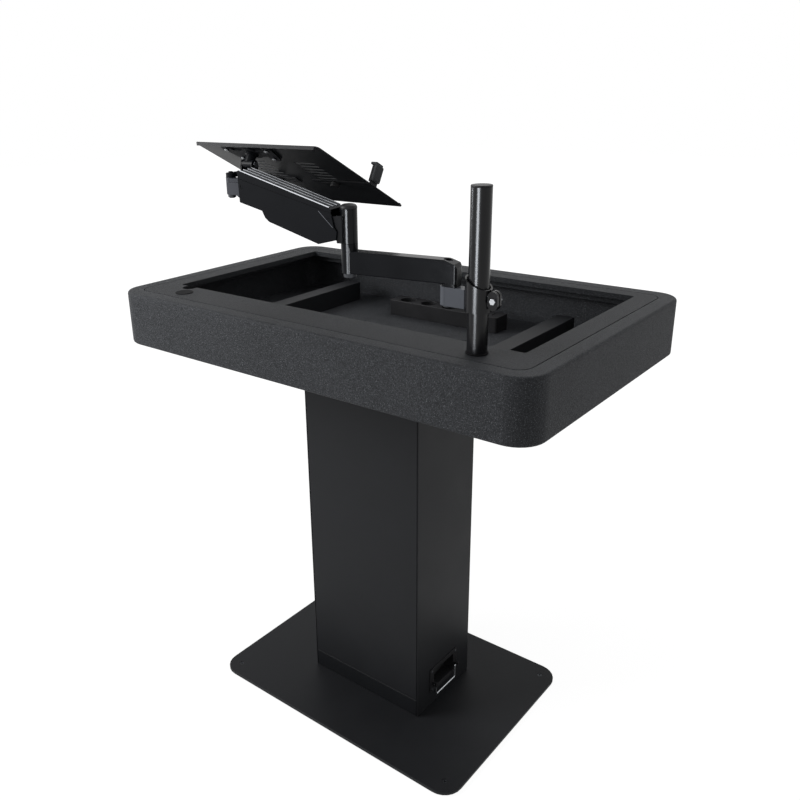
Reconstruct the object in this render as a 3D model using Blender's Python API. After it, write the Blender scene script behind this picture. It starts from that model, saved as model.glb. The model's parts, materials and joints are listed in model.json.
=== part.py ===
"""DJ podium stand: a column on a steel base plate carries a tabletop housing with an equipment well,
and a clamp on a pole carries an extension arm, a gas-spring arm and a tilting tray with side grips.

Origin: centre of the column section, on the floor. +X runs along the long side of the tabletop,
+Y points at the person who uses the stand, and the long side at -Y faces the audience.
"""

from math import asin, atan2, cos, pi, radians, sin

import bmesh
import bpy
from mathutils import Matrix, Vector

# Clearances
GAP = 0.0003  # between pieces that touch
PIN_GAP = 0.0004  # round a pin that turns in its hole
OVERCUT = 0.01  # how far a cutter runs past the faces it opens

# Base plate and its levelling feet
BASE_WIDTH = 0.705
BASE_DEPTH = 0.505
BASE_THICKNESS = 0.008
BASE_CORNER = 0.045
BASE_SHIFT = -0.014  # centre of the plate along Y
FOOT_HEIGHT = 0.003
FOOT_RADIUS = 0.014
FOOT_STUD_RADIUS = 0.005
FOOT_INSET = 0.036  # from the plate's sides
HEX_KEY_RADIUS = 0.0029
HEX_KEY_DEPTH = 0.004

# Column
COLUMN_WIDTH = 0.318
COLUMN_DEPTH = 0.220
COLUMN_SHEET = 0.002
PANEL_SHEET = 0.002
PANEL_GROOVE = 0.0015  # gap between the front panel and the side walls
RETURN_WIDTH = 0.016  # flanges behind the front panel
PLINTH_HEIGHT = 0.045
FRAME_SHEET = 0.003
FRAME_HEIGHT = 0.040
FRAME_FLANGE = 0.026
FRAME_BOLT_RADIUS = 0.0042
FRAME_BOLT_INSET = 0.013

# Mains inlet low on the column's +X wall
INLET_Y = -0.002
INLET_Z = 0.080
INLET_PLATE_WIDTH = 0.116
INLET_PLATE_HEIGHT = 0.068
INLET_PLATE_THICKNESS = 0.002
INLET_DISH_WIDTH = 0.084
INLET_DISH_HEIGHT = 0.046
INLET_DISH_DEPTH = 0.026
SOCKET_WIDTH = 0.030
SOCKET_HEIGHT = 0.024
SOCKET_LENGTH = 0.034
SOCKET_WALL = 0.003
SOCKET_DEPTH = 0.016
SOCKET_FLANGE = 0.003
SOCKET_MARGIN = 0.008
BAIL_WIRE_RADIUS = 0.0014
BAIL_WIDTH = 0.078
BAIL_LENGTH = 0.034
BAIL_BEND = 0.0035
BAIL_EAR = 0.006

# Tabletop housing
TOP_Z = 1.000
HOUSING_HEIGHT = 0.120
HOUSING_CORNER = 0.055
HOUSING_FILLET = 0.006
HOUSING_WALL = 0.018
HOUSING_FLOOR = 0.012
HOUSING_RIM = 0.034
HOUSING_LEDGE = 0.012
LEDGE_THICKNESS = 0.016
FLOOR_HOLE_WIDTH = 0.120
FLOOR_HOLE_DEPTH = 0.070

# Insert panel with the cut-out for the equipment
INSERT_THICKNESS = 0.012
INSERT_GAP = 0.0015
CUTOUT_WIDTH = 0.886
CUTOUT_DEPTH = 0.462
CUTOUT_SIDE = 0.0795  # from the cut-out to the tabletop's left and right edges
CUTOUT_FRONT = 0.120  # to the edge at the audience
CUTOUT_BACK = 0.068  # to the edge at the user
CUTOUT_CORNER = 0.004
NOTCH_INSET = 0.038  # from the cut-out's left end
NOTCH_RADIUS = 0.016
PLUG_RIM = 0.0025
PLUG_DEPTH = 0.008
RAIL_END = 0.010  # from the cut-out's edge
EQUIPMENT_DEPTH = 0.062  # from the top of the panel to the support rails

# Support rails and outlet strip in the well
RAIL_INSET = 0.143  # from the cut-out's ends to the middle of each rail
RAIL_WIDTH = 0.040
RAIL_SHEET = 0.003
STRIP_LENGTH = 0.300
STRIP_WIDTH = 0.050
STRIP_HEIGHT = 0.036
STRIP_X = 0.020
STRIP_INSET = 0.057  # from the cut-out's edge at the user
STRIP_CORNER = 0.006
SWITCH_INSET = 0.035  # from the strip's end
OUTLET_RADIUS = 0.0195
OUTLET_DEPTH = 0.012
OUTLET_PITCH = 0.060
SWITCH_LENGTH = 0.022
SWITCH_WIDTH = 0.015

# Pole
POLE_INSET = 0.1455  # from the tabletop's right edge
POLE_CLEARANCE = 0.0025  # between the pole socket's flange and the ledge
POLE_RADIUS = 0.0175
POLE_WALL = 0.002
POLE_HEIGHT = 0.276  # above the tabletop
POLE_CAP = 0.003
POLE_SOCKET_DEPTH = 0.040
POLE_SOCKET_WALL = 0.003
POLE_FLANGE_HEIGHT = 0.004
POLE_PLUG_DEPTH = 0.012
POLE_FLANGE_RADIUS = 0.0245
POLE_RING_RADIUS = 0.0196
POLE_RING_HEIGHT = 0.003

# Clamp on the pole
CLAMP_LIFT = 0.073  # of its underside above the tabletop
CLAMP_HEIGHT = 0.038
CLAMP_PEAK = 0.058  # height of the taller half, on the link's side
CLAMP_SLOPE_RUN = 0.0425
LINER_WALL = 0.0016
CLAMP_WALL = 0.0030
EAR_LENGTH = 0.0165
EAR_THICKNESS = 0.0055
EAR_HEIGHT = 0.032
EAR_CORNER = 0.009
EAR_CENTRE_Z = 0.0215  # above the clamp's underside
EAR_SLIT = 0.003
CLAMP_BOLT_RADIUS = 0.003
CLAMP_BOLT_REACH = 0.0091  # from the collar's outside
CLAMP_BOLT_HEAD = 0.0055
CLAMP_NUT_HEIGHT = 0.005
LINK_LIFT = 0.002  # of the link's underside, above the clamp's
LINK_LENGTH = 0.060
LINK_WIDTH = 0.024
LINK_HEIGHT = 0.0325
LINK_BOSS_RADIUS = 0.0125

# Extension arm
EXTENSION_YAW = radians(188.7)
EXTENSION_LENGTH = 0.190
EXTENSION_WIDTH = 0.026
EXTENSION_HEIGHT = 0.040
EXTENSION_LIFT = 0.005  # neck between the link and the arm
EXTENSION_NECK_RADIUS = 0.00975
EXTENSION_TAIL = 0.0205  # from the pivot back to the end over the link
EXTENSION_CORNER = 0.004
EXTENSION_EDGE = 0.0015
EXTENSION_SLOPE = ((0.0015, 0.0), (-0.0165, -0.006), (-0.0215, -0.014))  # of the tail's top: along, down
PIVOT_RADIUS = 0.005
PIVOT_HEAD_RADIUS = 0.0075
PIVOT_HEAD_HEIGHT = 0.003
PIVOT_HEAD_SINK = 0.0035  # under the top of the arm
PIVOT_FOOT_RADIUS = 0.008
PIVOT_FOOT_HEIGHT = 0.003
CHANNEL_WIDTH = 0.014
CHANNEL_DEPTH = 0.008
CHANNEL_COVER = 0.002
CHANNEL_MARGIN = 0.006

# Post at the end of the extension arm
POST_RADIUS = 0.0152
SLEEVE_RISE = 0.0125  # above the extension arm
POST_RISE = 0.068  # above the sleeve
POST_DOME = 0.008
SPIGOT_RADIUS = 0.008
POST_FOOT_RADIUS = 0.012
POST_FOOT_HEIGHT = 0.008

# Gas-spring arm, from the root pins at the post to the tip pins at the end bracket
ARM_YAW = radians(191.1)
ARM_RISE = radians(15.5)
ARM_LENGTH = 0.186
ROOT_OFFSET = 0.029
ROOT_PIN_RISE = 0.042  # above the sleeve
TIP_OFFSET = 0.0384
LINK_SPACING = 0.020  # between the upper and lower pins, upright
ARM_WIDTH = 0.044
ARM_SHEET = 0.0025
ARM_TOP = 0.020  # above the line of the upper pins, at the root
ARM_TIP_TOP = 0.026  # and at the tip
ARM_TIP_DROP = 0.0285
ARM_BELLY_DROP = 0.048
ARM_BELLY_STEP = 0.051  # from the tip pins to where the deep part ends
ARM_TIP_LEAN = 0.31  # run of the tip's slanted edge for each unit of rise
ARM_SEAM = 0.012  # between the channel and its top cap, above the line of the upper pins
ARM_PIN_RADIUS = 0.003
CHEEK_THICKNESS = 0.004
CHEEK_HALF_WIDTH = 0.0185
PARALLEL_BAR_WIDTH = 0.007
PARALLEL_BAR_HEIGHT = 0.009
PARALLEL_BAR_Y = -0.0105
SPRING_RADIUS = 0.0075
SPRING_ROD_RADIUS = 0.0035
SPRING_ROD_IN = 0.050  # length of the rod inside the cylinder
SPRING_Y = 0.006
SPRING_LENGTH = 0.088
SPRING_START = 0.068  # end of the cylinder nearest the root
SPRING_DROP = 0.010  # of the spring's axis and of its anchor, below the upper pins

# End bracket and head
BRACKET_RADIUS = 0.0095
BRACKET_DROP = 0.0162  # below the upper tip pin
BRACKET_RISE = 0.0138  # above it
BRACKET_NEAR = 0.016  # from the tip pins to the solid part between the cheeks
BRACKET_BLOCK_TOP = 0.006  # above the upper tip pin
BRACKET_WEB_TOP = 0.0125
HEAD_STEM_RADIUS = 0.005
HEAD_REACH = 0.048
TILT_PIN_RISE = 0.0327  # above the upper tip pin
HEAD_BAR_WIDTH = 0.018
HEAD_BAR_HEIGHT = 0.0075
HEAD_EAR_RADIUS = 0.0085
HEAD_EAR_THICKNESS = 0.004
TILT_BLOCK_WIDTH = 0.022
TILT_PIN_RADIUS = 0.003
TILT_BOLT_HEAD = 0.0055
TILT_DISC_RADIUS = 0.013
TILT_SPIGOT_RADIUS = 0.005
STEM_NUT_RADIUS = 0.0075
STEM_NUT_HEIGHT = 0.006
STEM_TOP_RADIUS = 0.004
STEM_TOP_HEIGHT = 0.0025

# Mounting plate and tray, in the tilted frame of the tray
TRAY_TILT = radians(28.05)
PLATE_STANDOFF = 0.0206  # from the tilt pin to the underside of the mounting plate
PLATE_THICKNESS = 0.003
PLATE_SCREWS = ((0.053, -0.016), (0.042, 0.020))  # on each side, rear and front
PLATE_LOBE_RADIUS = 0.012
PLATE_HUB_RADIUS = 0.021
PLATE_SCREW_RADIUS = 0.004
TRAY_WIDTH = 0.320
TRAY_DEPTH = 0.280
TRAY_SHEET = 0.002
TRAY_CORNER = 0.008
TRAY_LIP = 0.007
TRAY_REAR = 0.034  # from the centre of the mounting plate back to the rear edge
TRAY_LEFT = 0.129  # from the centre of the mounting plate to the left edge
SLOT_COUNT = 7
SLOT_PITCH = 0.014
SLOT_WIDTH = 0.005
SLOT_LENGTH = 0.052

# Side grips under the tray
GRIP_Y = 0.130  # ahead of the centre of the mounting plate
GRIP_WIDTH = 0.022
GRIP_SHEET = 0.002
GRIP_HEIGHT = 0.034
GRIP_BAR_LENGTH = 0.138
GRIP_SLOT_LENGTH = 0.047
GRIP_SLOT_END = 0.010  # from the inner end of the bar
GRIP_PAD = 0.0045
GRIP_SCREW_RADIUS = 0.0025
GRIP_KNOB_RADIUS = 0.009
GRIP_KNOB_HEIGHT = 0.008

# Worked out from the sizes above
BASE_TOP = FOOT_HEIGHT + BASE_THICKNESS
POLE_TOP = TOP_Z + POLE_HEIGHT
CLAMP_BOTTOM = TOP_Z + CLAMP_LIFT
HOUSING_WIDTH = CUTOUT_WIDTH + 2 * CUTOUT_SIDE
HOUSING_DEPTH = CUTOUT_DEPTH + CUTOUT_FRONT + CUTOUT_BACK
HOUSING_BOTTOM = TOP_Z - HOUSING_HEIGHT
CUTOUT_CENTRE_Y = (CUTOUT_FRONT - CUTOUT_BACK) / 2
NOTCH_X = NOTCH_INSET - CUTOUT_WIDTH / 2
RAIL_X = CUTOUT_WIDTH / 2 - RAIL_INSET
STRIP_Y = CUTOUT_CENTRE_Y + CUTOUT_DEPTH / 2 - STRIP_INSET
POLE_X = HOUSING_WIDTH / 2 - POLE_INSET
POLE_Y = HOUSING_RIM + HOUSING_LEDGE + POLE_FLANGE_RADIUS + POLE_CLEARANCE - HOUSING_DEPTH / 2
COLUMN_BOTTOM = BASE_TOP + GAP
COLUMN_TOP = HOUSING_BOTTOM - GAP
FLOOR_TOP = HOUSING_BOTTOM + HOUSING_FLOOR
INSERT_BOTTOM = TOP_Z - INSERT_THICKNESS
SUPPORT_Z = TOP_Z - EQUIPMENT_DEPTH
CLAMP_RADIUS = POLE_RADIUS + 2 * GAP + LINER_WALL + CLAMP_WALL
LINK_TOP = CLAMP_BOTTOM + LINK_LIFT + LINK_HEIGHT
EXTENSION_BOTTOM = LINK_TOP + EXTENSION_LIFT
EXTENSION_TOP = EXTENSION_BOTTOM + EXTENSION_HEIGHT
SLEEVE_TOP = EXTENSION_TOP + SLEEVE_RISE
POST_TOP = SLEEVE_TOP + POST_RISE
ROOT_PIN_Z = SLEEVE_TOP + ROOT_PIN_RISE


def material(name, colour, roughness, metallic=0.0):
    made = bpy.data.materials.new(name)
    made.use_nodes = True
    shader = made.node_tree.nodes["Principled BSDF"]
    shader.inputs["Base Color"].default_value = (*colour, 1.0)
    shader.inputs["Roughness"].default_value = roughness
    shader.inputs["Metallic"].default_value = metallic
    return made


def frame(name, location, parent=None, turn=(0.0, 0.0, 0.0)):
    """An empty that holds pieces by their joint's axis."""
    empty = bpy.data.objects.new(name, None)
    bpy.context.scene.collection.objects.link(empty)
    empty.location = location
    empty.rotation_euler = turn
    empty.parent = parent
    empty.empty_display_size = 0.02
    return empty


def piece(name, shape, finish, parent=None, location=(0.0, 0.0, 0.0), smooth=True):
    """One named object from a bmesh."""
    bmesh.ops.recalc_face_normals(shape, faces=shape.faces)
    mesh = bpy.data.meshes.new(name)
    shape.to_mesh(mesh)
    shape.free()
    if smooth:
        mesh.shade_smooth()
        mesh.set_sharp_from_angle(angle=radians(35))
    mesh.materials.append(finish)
    made = bpy.data.objects.new(name, mesh)
    bpy.context.scene.collection.objects.link(made)
    made.location = location
    made.parent = parent
    return made


def combine(target, shape, operation, suffix):
    """Joins a shape to the target, or cuts it away, with a Boolean that stays on the target."""
    helper = piece(
        f"{target.name}_{suffix}", shape, target.data.materials[0], target.parent, target.location, False
    )
    helper.hide_render = True
    helper.display_type = "WIRE"
    change = target.modifiers.new(suffix, "BOOLEAN")
    change.operation = operation
    change.object = helper
    change.solver = "EXACT"


def cut(target, shape, suffix="cut"):
    combine(target, shape, "DIFFERENCE", suffix)


def join(target, shape, suffix="join"):
    combine(target, shape, "UNION", suffix)


def rounded_rectangle(width, depth, radius, centre=(0.0, 0.0), steps=5):
    """Outline of a rectangle with round corners, anticlockwise."""
    points = []
    for quarter, (sx, sy) in enumerate(((1, 1), (-1, 1), (-1, -1), (1, -1))):
        corner_x = centre[0] + sx * (width / 2 - radius)
        corner_y = centre[1] + sy * (depth / 2 - radius)
        for step in range(steps + 1):
            angle = (quarter + step / steps) * pi / 2
            points.append((corner_x + radius * cos(angle), corner_y + radius * sin(angle)))
    return points


def rectangle(x0, x1, y0, y1):
    return [(x0, y0), (x1, y0), (x1, y1), (x0, y1)]


def circle(radius, centre=(0.0, 0.0), steps=24, start=0.0):
    turns = [start + 2 * pi * step / steps for step in range(steps)]
    return [(centre[0] + radius * cos(turn), centre[1] + radius * sin(turn)) for turn in turns]


def stadium(x0, x1, radius, y=0.0, steps=8):
    """Outline of a bar with round ends, centred on its two end points."""
    right = [(-pi / 2 + pi * step / steps) for step in range(steps + 1)]
    left = [(pi / 2 + pi * step / steps) for step in range(steps + 1)]
    points = [(x1 + radius * cos(turn), y + radius * sin(turn)) for turn in right]
    return points + [(x0 + radius * cos(turn), y + radius * sin(turn)) for turn in left]


# Matrices that lay a prism's outline in another plane
ALONG_X = Matrix(((0, 0, 1, 0), (1, 0, 0, 0), (0, 1, 0, 0), (0, 0, 0, 1)))  # outline in Y and Z
ALONG_Y = Matrix(((1, 0, 0, 0), (0, 0, -1, 0), (0, 1, 0, 0), (0, 0, 0, 1)))  # outline in X and Z, run to -Y


def prism(outline, low, high, shape=None, turn=None):
    """Extrudes a closed outline between two heights. It adds to the shape, when one is given."""
    shape = shape or bmesh.new()
    bottom = [shape.verts.new((x, y, low)) for x, y in outline]
    base = shape.faces.new(bottom)
    raised = bmesh.ops.extrude_face_region(shape, geom=[base])["geom"]
    top = [item for item in raised if isinstance(item, bmesh.types.BMVert)]
    bmesh.ops.translate(shape, verts=top, vec=(0.0, 0.0, high - low))
    if turn:
        bmesh.ops.transform(shape, matrix=turn, verts=bottom + top)
    return shape


def across(outline, y0, y1, shape=None):
    """A prism whose outline lies in X and Z, between two places along Y."""
    return prism(outline, -y1, -y0, shape, ALONG_Y)


def box(x0, x1, y0, y1, z0, z1, shape=None):
    return prism(rectangle(x0, x1, y0, y1), z0, z1, shape)


def cylinder(radius, low, high, centre=(0.0, 0.0), steps=24, shape=None):
    return prism(circle(radius, centre, steps), low, high, shape)


def turned(profile, steps=32, centre=(0.0, 0.0)):
    """A solid of revolution about Z. The profile is a list of (radius, height), and it closes itself."""
    shape = bmesh.new()
    points = [shape.verts.new((radius, 0.0, height)) for radius, height in profile]
    edges = [shape.edges.new((points[i], points[i + 1])) for i in range(len(points) - 1)]
    if profile[0][0] > 0 or profile[-1][0] > 0:
        edges.append(shape.edges.new((points[-1], points[0])))
    bmesh.ops.spin(
        shape, geom=points + edges, axis=(0, 0, 1), cent=(0, 0, 0), angle=2 * pi, steps=steps, use_merge=True
    )
    bmesh.ops.remove_doubles(shape, verts=shape.verts, dist=1e-6)
    bmesh.ops.translate(shape, verts=shape.verts, vec=(*centre, 0.0))
    return shape


def tube(outer, inner, low, high, steps=32, chamfer=0.0, centre=(0.0, 0.0)):
    profile = [(inner, low), (outer - chamfer, low), (outer, low + chamfer)]
    profile += [(outer, high - chamfer), (outer - chamfer, high), (inner, high)]
    if not chamfer:
        profile = [(inner, low), (outer, low), (outer, high), (inner, high)]
    return turned(profile, steps, centre)


def clear_scene():
    for item in list(bpy.data.objects):
        bpy.data.objects.remove(item, do_unlink=True)


def make_materials():
    return {
        "coating": material("textured black coating", (0.055, 0.058, 0.060), 0.62),
        "powder": material("matte black powder coat", (0.030, 0.031, 0.033), 0.55),
        "gloss": material("gloss black lacquer", (0.008, 0.008, 0.009), 0.16),
        "plastic": material("black plastic", (0.018, 0.018, 0.020), 0.42),
        "rubber": material("black rubber", (0.012, 0.012, 0.012), 0.85),
        "zinc": material("zinc-plated steel", (0.62, 0.64, 0.66), 0.32, 1.0),
        "dark_steel": material("blackened steel", (0.050, 0.052, 0.056), 0.34, 1.0),
        "casting": material("black coated aluminium", (0.016, 0.017, 0.020), 0.38),
        "satin": material("satin grey aluminium casting", (0.130, 0.135, 0.145), 0.40, 0.6),
    }


def foot_places():
    for side_x in (-1, 1):
        for side_y in (-1, 1):
            x = side_x * (BASE_WIDTH / 2 - FOOT_INSET)
            yield x, BASE_SHIFT + side_y * (BASE_DEPTH / 2 - FOOT_INSET)


def frame_bolt_places():
    """Bolts that hold the column's two frames to the base plate and to the housing."""
    reach_x = COLUMN_WIDTH / 2 - COLUMN_SHEET - GAP - FRAME_SHEET - FRAME_BOLT_INSET
    front = -COLUMN_DEPTH / 2 + PANEL_SHEET + COLUMN_SHEET + 2 * GAP + FRAME_SHEET + FRAME_BOLT_INSET
    back = COLUMN_DEPTH / 2 - COLUMN_SHEET - GAP - FRAME_SHEET - FRAME_BOLT_INSET
    return [(side * reach_x, y) for side in (-1, 1) for y in (front, back)]


def make_base(finish):
    outline = rounded_rectangle(BASE_WIDTH, BASE_DEPTH, BASE_CORNER, (0.0, BASE_SHIFT), 6)
    plate = piece("base_plate", prism(outline, FOOT_HEIGHT, BASE_TOP), finish["powder"])
    bevel = plate.modifiers.new("edge", "BEVEL")
    bevel.width = 0.001
    bevel.segments = 1
    bevel.limit_method = "ANGLE"
    bevel.angle_limit = radians(60)
    holes = bmesh.new()
    for place in foot_places():
        cylinder(FOOT_STUD_RADIUS + PIN_GAP, 0.0, 2 * BASE_TOP, place, 16, holes)
    for place in frame_bolt_places():
        cylinder(FRAME_BOLT_RADIUS, 0.0, 2 * BASE_TOP, place, 12, holes)
    cut(plate, holes, "holes")
    for number, place in enumerate(foot_places(), 1):
        make_foot(number, place, finish)


def make_foot(number, place, finish):
    """A threaded stud with a pad under the plate, turned from above with a hexagon key."""
    top = BASE_TOP - 0.0008
    profile = [(0.0, 0.0), (FOOT_RADIUS - 0.001, 0.0), (FOOT_RADIUS, 0.001), (FOOT_RADIUS, FOOT_HEIGHT - GAP)]
    profile += [(FOOT_STUD_RADIUS, FOOT_HEIGHT - GAP), (FOOT_STUD_RADIUS, top), (0.0, top)]
    foot = piece(f"levelling_foot_{number}", turned(profile, 16), finish["dark_steel"], None, (*place, 0.0))
    cut(foot, cylinder(HEX_KEY_RADIUS, top - HEX_KEY_DEPTH, top + OVERCUT, (0.0, 0.0), 6), "key")


def shell_outline():
    """Plan of the column's folded shell: two side walls, the back wall and the returns at the front."""
    x = COLUMN_WIDTH / 2
    front = -COLUMN_DEPTH / 2
    back = COLUMN_DEPTH / 2
    behind = front + PANEL_SHEET + GAP
    t = COLUMN_SHEET
    points = [(x, front), (x, back), (-x, back), (-x, front), (-x + t, front), (-x + t, behind)]
    points += [
        (-x + RETURN_WIDTH, behind), (-x + RETURN_WIDTH, behind + t), (-x + t, behind + t), (-x + t, back - t)
    ]
    points += [
        (x - t, back - t), (x - t, behind + t), (x - RETURN_WIDTH, behind + t), (x - RETURN_WIDTH, behind)
    ]
    return points + [(x - t, behind), (x - t, front)]


def make_column(finish):
    shell = piece("column_shell", prism(shell_outline(), COLUMN_BOTTOM, COLUMN_TOP), finish["powder"])
    opening_y = INLET_DISH_WIDTH / 2 + COLUMN_SHEET + 2 * GAP
    opening_z = INLET_DISH_HEIGHT / 2 + COLUMN_SHEET + 2 * GAP
    cut(
        shell,
        box(
            COLUMN_WIDTH / 2 - OVERCUT, COLUMN_WIDTH / 2 + OVERCUT,
            INLET_Y - opening_y, INLET_Y + opening_y, INLET_Z - opening_z, INLET_Z + opening_z,
        ),
        "inlet_opening",
    )
    x = COLUMN_WIDTH / 2 - COLUMN_SHEET - PANEL_GROOVE
    front = -COLUMN_DEPTH / 2
    panel_bottom = COLUMN_BOTTOM + PLINTH_HEIGHT + PANEL_GROOVE
    panel = box(-x, x, front, front + PANEL_SHEET, panel_bottom, COLUMN_TOP)
    piece("column_front_panel", panel, finish["powder"])
    strip = box(-x, x, front, front + PANEL_SHEET, COLUMN_BOTTOM, COLUMN_BOTTOM + PLINTH_HEIGHT)
    piece("plinth_strip", strip, finish["powder"])
    make_column_frame("column_foot_frame", COLUMN_BOTTOM, COLUMN_BOTTOM + FRAME_HEIGHT, COLUMN_BOTTOM, finish)
    make_column_frame(
        "column_head_frame", COLUMN_TOP - FRAME_HEIGHT, COLUMN_TOP, COLUMN_TOP - FRAME_SHEET, finish
    )


def make_column_frame(name, low, high, flange_low, finish):
    """A welded ring of angle inside the shell. Its flange takes the bolts to the base or the housing."""
    inner = COLUMN_SHEET + GAP
    front = -COLUMN_DEPTH / 2 + PANEL_SHEET + GAP + inner
    x = COLUMN_WIDTH / 2 - inner
    y = COLUMN_DEPTH / 2 - inner
    ring = piece(name, box(-x, x, front, y, low, high), finish["powder"])
    t = FRAME_SHEET
    hollow_low, hollow_high = (flange_low + t, high + t) if flange_low == low else (low - t, flange_low)
    cut(ring, box(-x + t, x - t, front + t, y - t, hollow_low, hollow_high), "inside")
    f = FRAME_FLANGE
    holes = box(-x + f, x - f, front + f, y - f, flange_low - 0.005, flange_low + FRAME_SHEET + 0.005)
    for place in frame_bolt_places():
        cylinder(FRAME_BOLT_RADIUS, flange_low - 0.005, flange_low + FRAME_SHEET + 0.005, place, 12, holes)
    cut(ring, holes, "holes")


def make_inlet(finish):
    """Recessed mains inlet: a flanged dish through the wall, a socket in it and a wire bail for the plug."""
    wall = COLUMN_WIDTH / 2
    face = wall + GAP
    outline = rounded_rectangle(INLET_PLATE_WIDTH, INLET_PLATE_HEIGHT, 0.006, (INLET_Y, INLET_Z), 3)
    plate = piece(
        "inlet_plate", prism(outline, face, face + INLET_PLATE_THICKNESS, None, ALONG_X), finish["plastic"]
    )
    dish = rounded_rectangle(
        INLET_DISH_WIDTH + 2 * COLUMN_SHEET,
        INLET_DISH_HEIGHT + 2 * COLUMN_SHEET, 0.004, (INLET_Y, INLET_Z), 2
    )
    join(plate, prism(dish, wall - INLET_DISH_DEPTH, face + 0.001, None, ALONG_X), "dish")
    hollow = rounded_rectangle(INLET_DISH_WIDTH, INLET_DISH_HEIGHT, 0.003, (INLET_Y, INLET_Z), 2)
    floor = wall - INLET_DISH_DEPTH + COLUMN_SHEET
    cut(plate, prism(hollow, floor, face + 0.02, None, ALONG_X), "hollow")
    opening = rectangle(
        INLET_Y - SOCKET_WIDTH / 2 - GAP, INLET_Y + SOCKET_WIDTH / 2 + GAP,
        INLET_Z - SOCKET_HEIGHT / 2 - GAP, INLET_Z + SOCKET_HEIGHT / 2 + GAP,
    )
    cut(plate, prism(opening, floor - 0.02, floor + OVERCUT, None, ALONG_X), "socket_opening")
    ear_y = BAIL_WIDTH / 2 + BAIL_WIRE_RADIUS + BAIL_BEND + BAIL_EAR / 2
    pivot_z = INLET_Z - 0.008
    ear_tip = face + INLET_PLATE_THICKNESS + 2 * BAIL_EAR
    ears = bmesh.new()
    holes = bmesh.new()
    for side in (-1, 1):
        y = INLET_Y + side * ear_y
        box(
            face + 0.0005, ear_tip, y - BAIL_EAR / 2,
            y + BAIL_EAR / 2, pivot_z - BAIL_EAR, pivot_z + BAIL_EAR, ears,
        )
        hole = circle(BAIL_WIRE_RADIUS + PIN_GAP, (ear_tip - BAIL_EAR, pivot_z), 12)
        across(hole, y - BAIL_EAR, y + BAIL_EAR, holes)
    join(plate, ears, "ears")
    cut(plate, holes, "ear_holes")
    make_socket(finish, floor)
    make_bail(finish, ear_tip - BAIL_EAR, pivot_z, ear_y)


def make_socket(finish, floor):
    """The socket's body reaches back into the column. Its flange rests on the floor of the dish."""
    front = floor + GAP + SOCKET_FLANGE
    shape = prism(
        rounded_rectangle(
            SOCKET_WIDTH + SOCKET_MARGIN, SOCKET_HEIGHT + SOCKET_MARGIN, 0.003, (INLET_Y, INLET_Z), 2
        ),
        
        floor + GAP, front, None, ALONG_X,
    )
    socket = piece("inlet_socket", shape, finish["plastic"])
    body = rectangle(
        INLET_Y - SOCKET_WIDTH / 2, INLET_Y + SOCKET_WIDTH / 2,
        INLET_Z - SOCKET_HEIGHT / 2, INLET_Z + SOCKET_HEIGHT / 2
    )
    join(socket, prism(body, front - SOCKET_LENGTH, front - 0.001, None, ALONG_X), "body")
    mouth = rectangle(
        INLET_Y - SOCKET_WIDTH / 2 + SOCKET_WALL, INLET_Y + SOCKET_WIDTH / 2 - SOCKET_WALL,
        INLET_Z - SOCKET_HEIGHT / 2 + SOCKET_WALL, INLET_Z + SOCKET_HEIGHT / 2 - SOCKET_WALL,
    )
    cut(socket, prism(mouth, front - SOCKET_DEPTH, front + OVERCUT, None, ALONG_X), "mouth")
    contacts = bmesh.new()
    for offset_y, offset_z in ((-0.007, -0.002), (0.007, -0.002), (0.0, 0.002)):
        y = INLET_Y + offset_y
        z = INLET_Z + offset_z
        box(front - 0.020, front - 0.004, y - 0.001, y + 0.001, z - 0.002, z + 0.002, contacts)
    join(socket, contacts, "contacts")


def make_bail(finish, pivot_x, pivot_z, ear_y):
    """Wire bail, hanging straight down. It swings up over the plug and keeps it in."""
    half = BAIL_WIDTH / 2 + BAIL_WIRE_RADIUS
    end = ear_y + BAIL_EAR / 2
    route = [(0.0, -end, 0.0), (0.0, -half, 0.0), (0.0, -half, -BAIL_LENGTH)]
    route += [(0.0, half, -BAIL_LENGTH), (0.0, half, 0.0), (0.0, end, 0.0)]
    curve = bpy.data.curves.new("inlet_bail", "CURVE")
    curve.dimensions = "3D"
    curve.bevel_depth = BAIL_WIRE_RADIUS
    curve.bevel_resolution = 2
    curve.use_fill_caps = True
    spline = curve.splines.new("POLY")
    rounded = round_corners(route, BAIL_BEND, 4)
    spline.points.add(len(rounded) - 1)
    for point, place in zip(spline.points, rounded):
        point.co = (*place, 1.0)
    curve.materials.append(finish["zinc"])
    bail = bpy.data.objects.new("inlet_bail", curve)
    bpy.context.scene.collection.objects.link(bail)
    bail.location = (pivot_x, INLET_Y, pivot_z)


def round_corners(route, radius, steps):
    """The route with each inner corner replaced by a quadratic curve."""
    points = [Vector(route[0])]
    for before, corner, after in zip(route, route[1:], route[2:]):
        corner = Vector(corner)
        back = Vector(before) - corner
        ahead = Vector(after) - corner
        reach = min(radius, back.length * 0.45, ahead.length * 0.45)
        start = corner + back.normalized() * reach
        end = corner + ahead.normalized() * reach
        for step in range(steps + 1):
            t = step / steps
            points.append(start * (1 - t) ** 2 + corner * 2 * t * (1 - t) + end * t**2)
    return points + [Vector(route[-1])]


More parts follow.
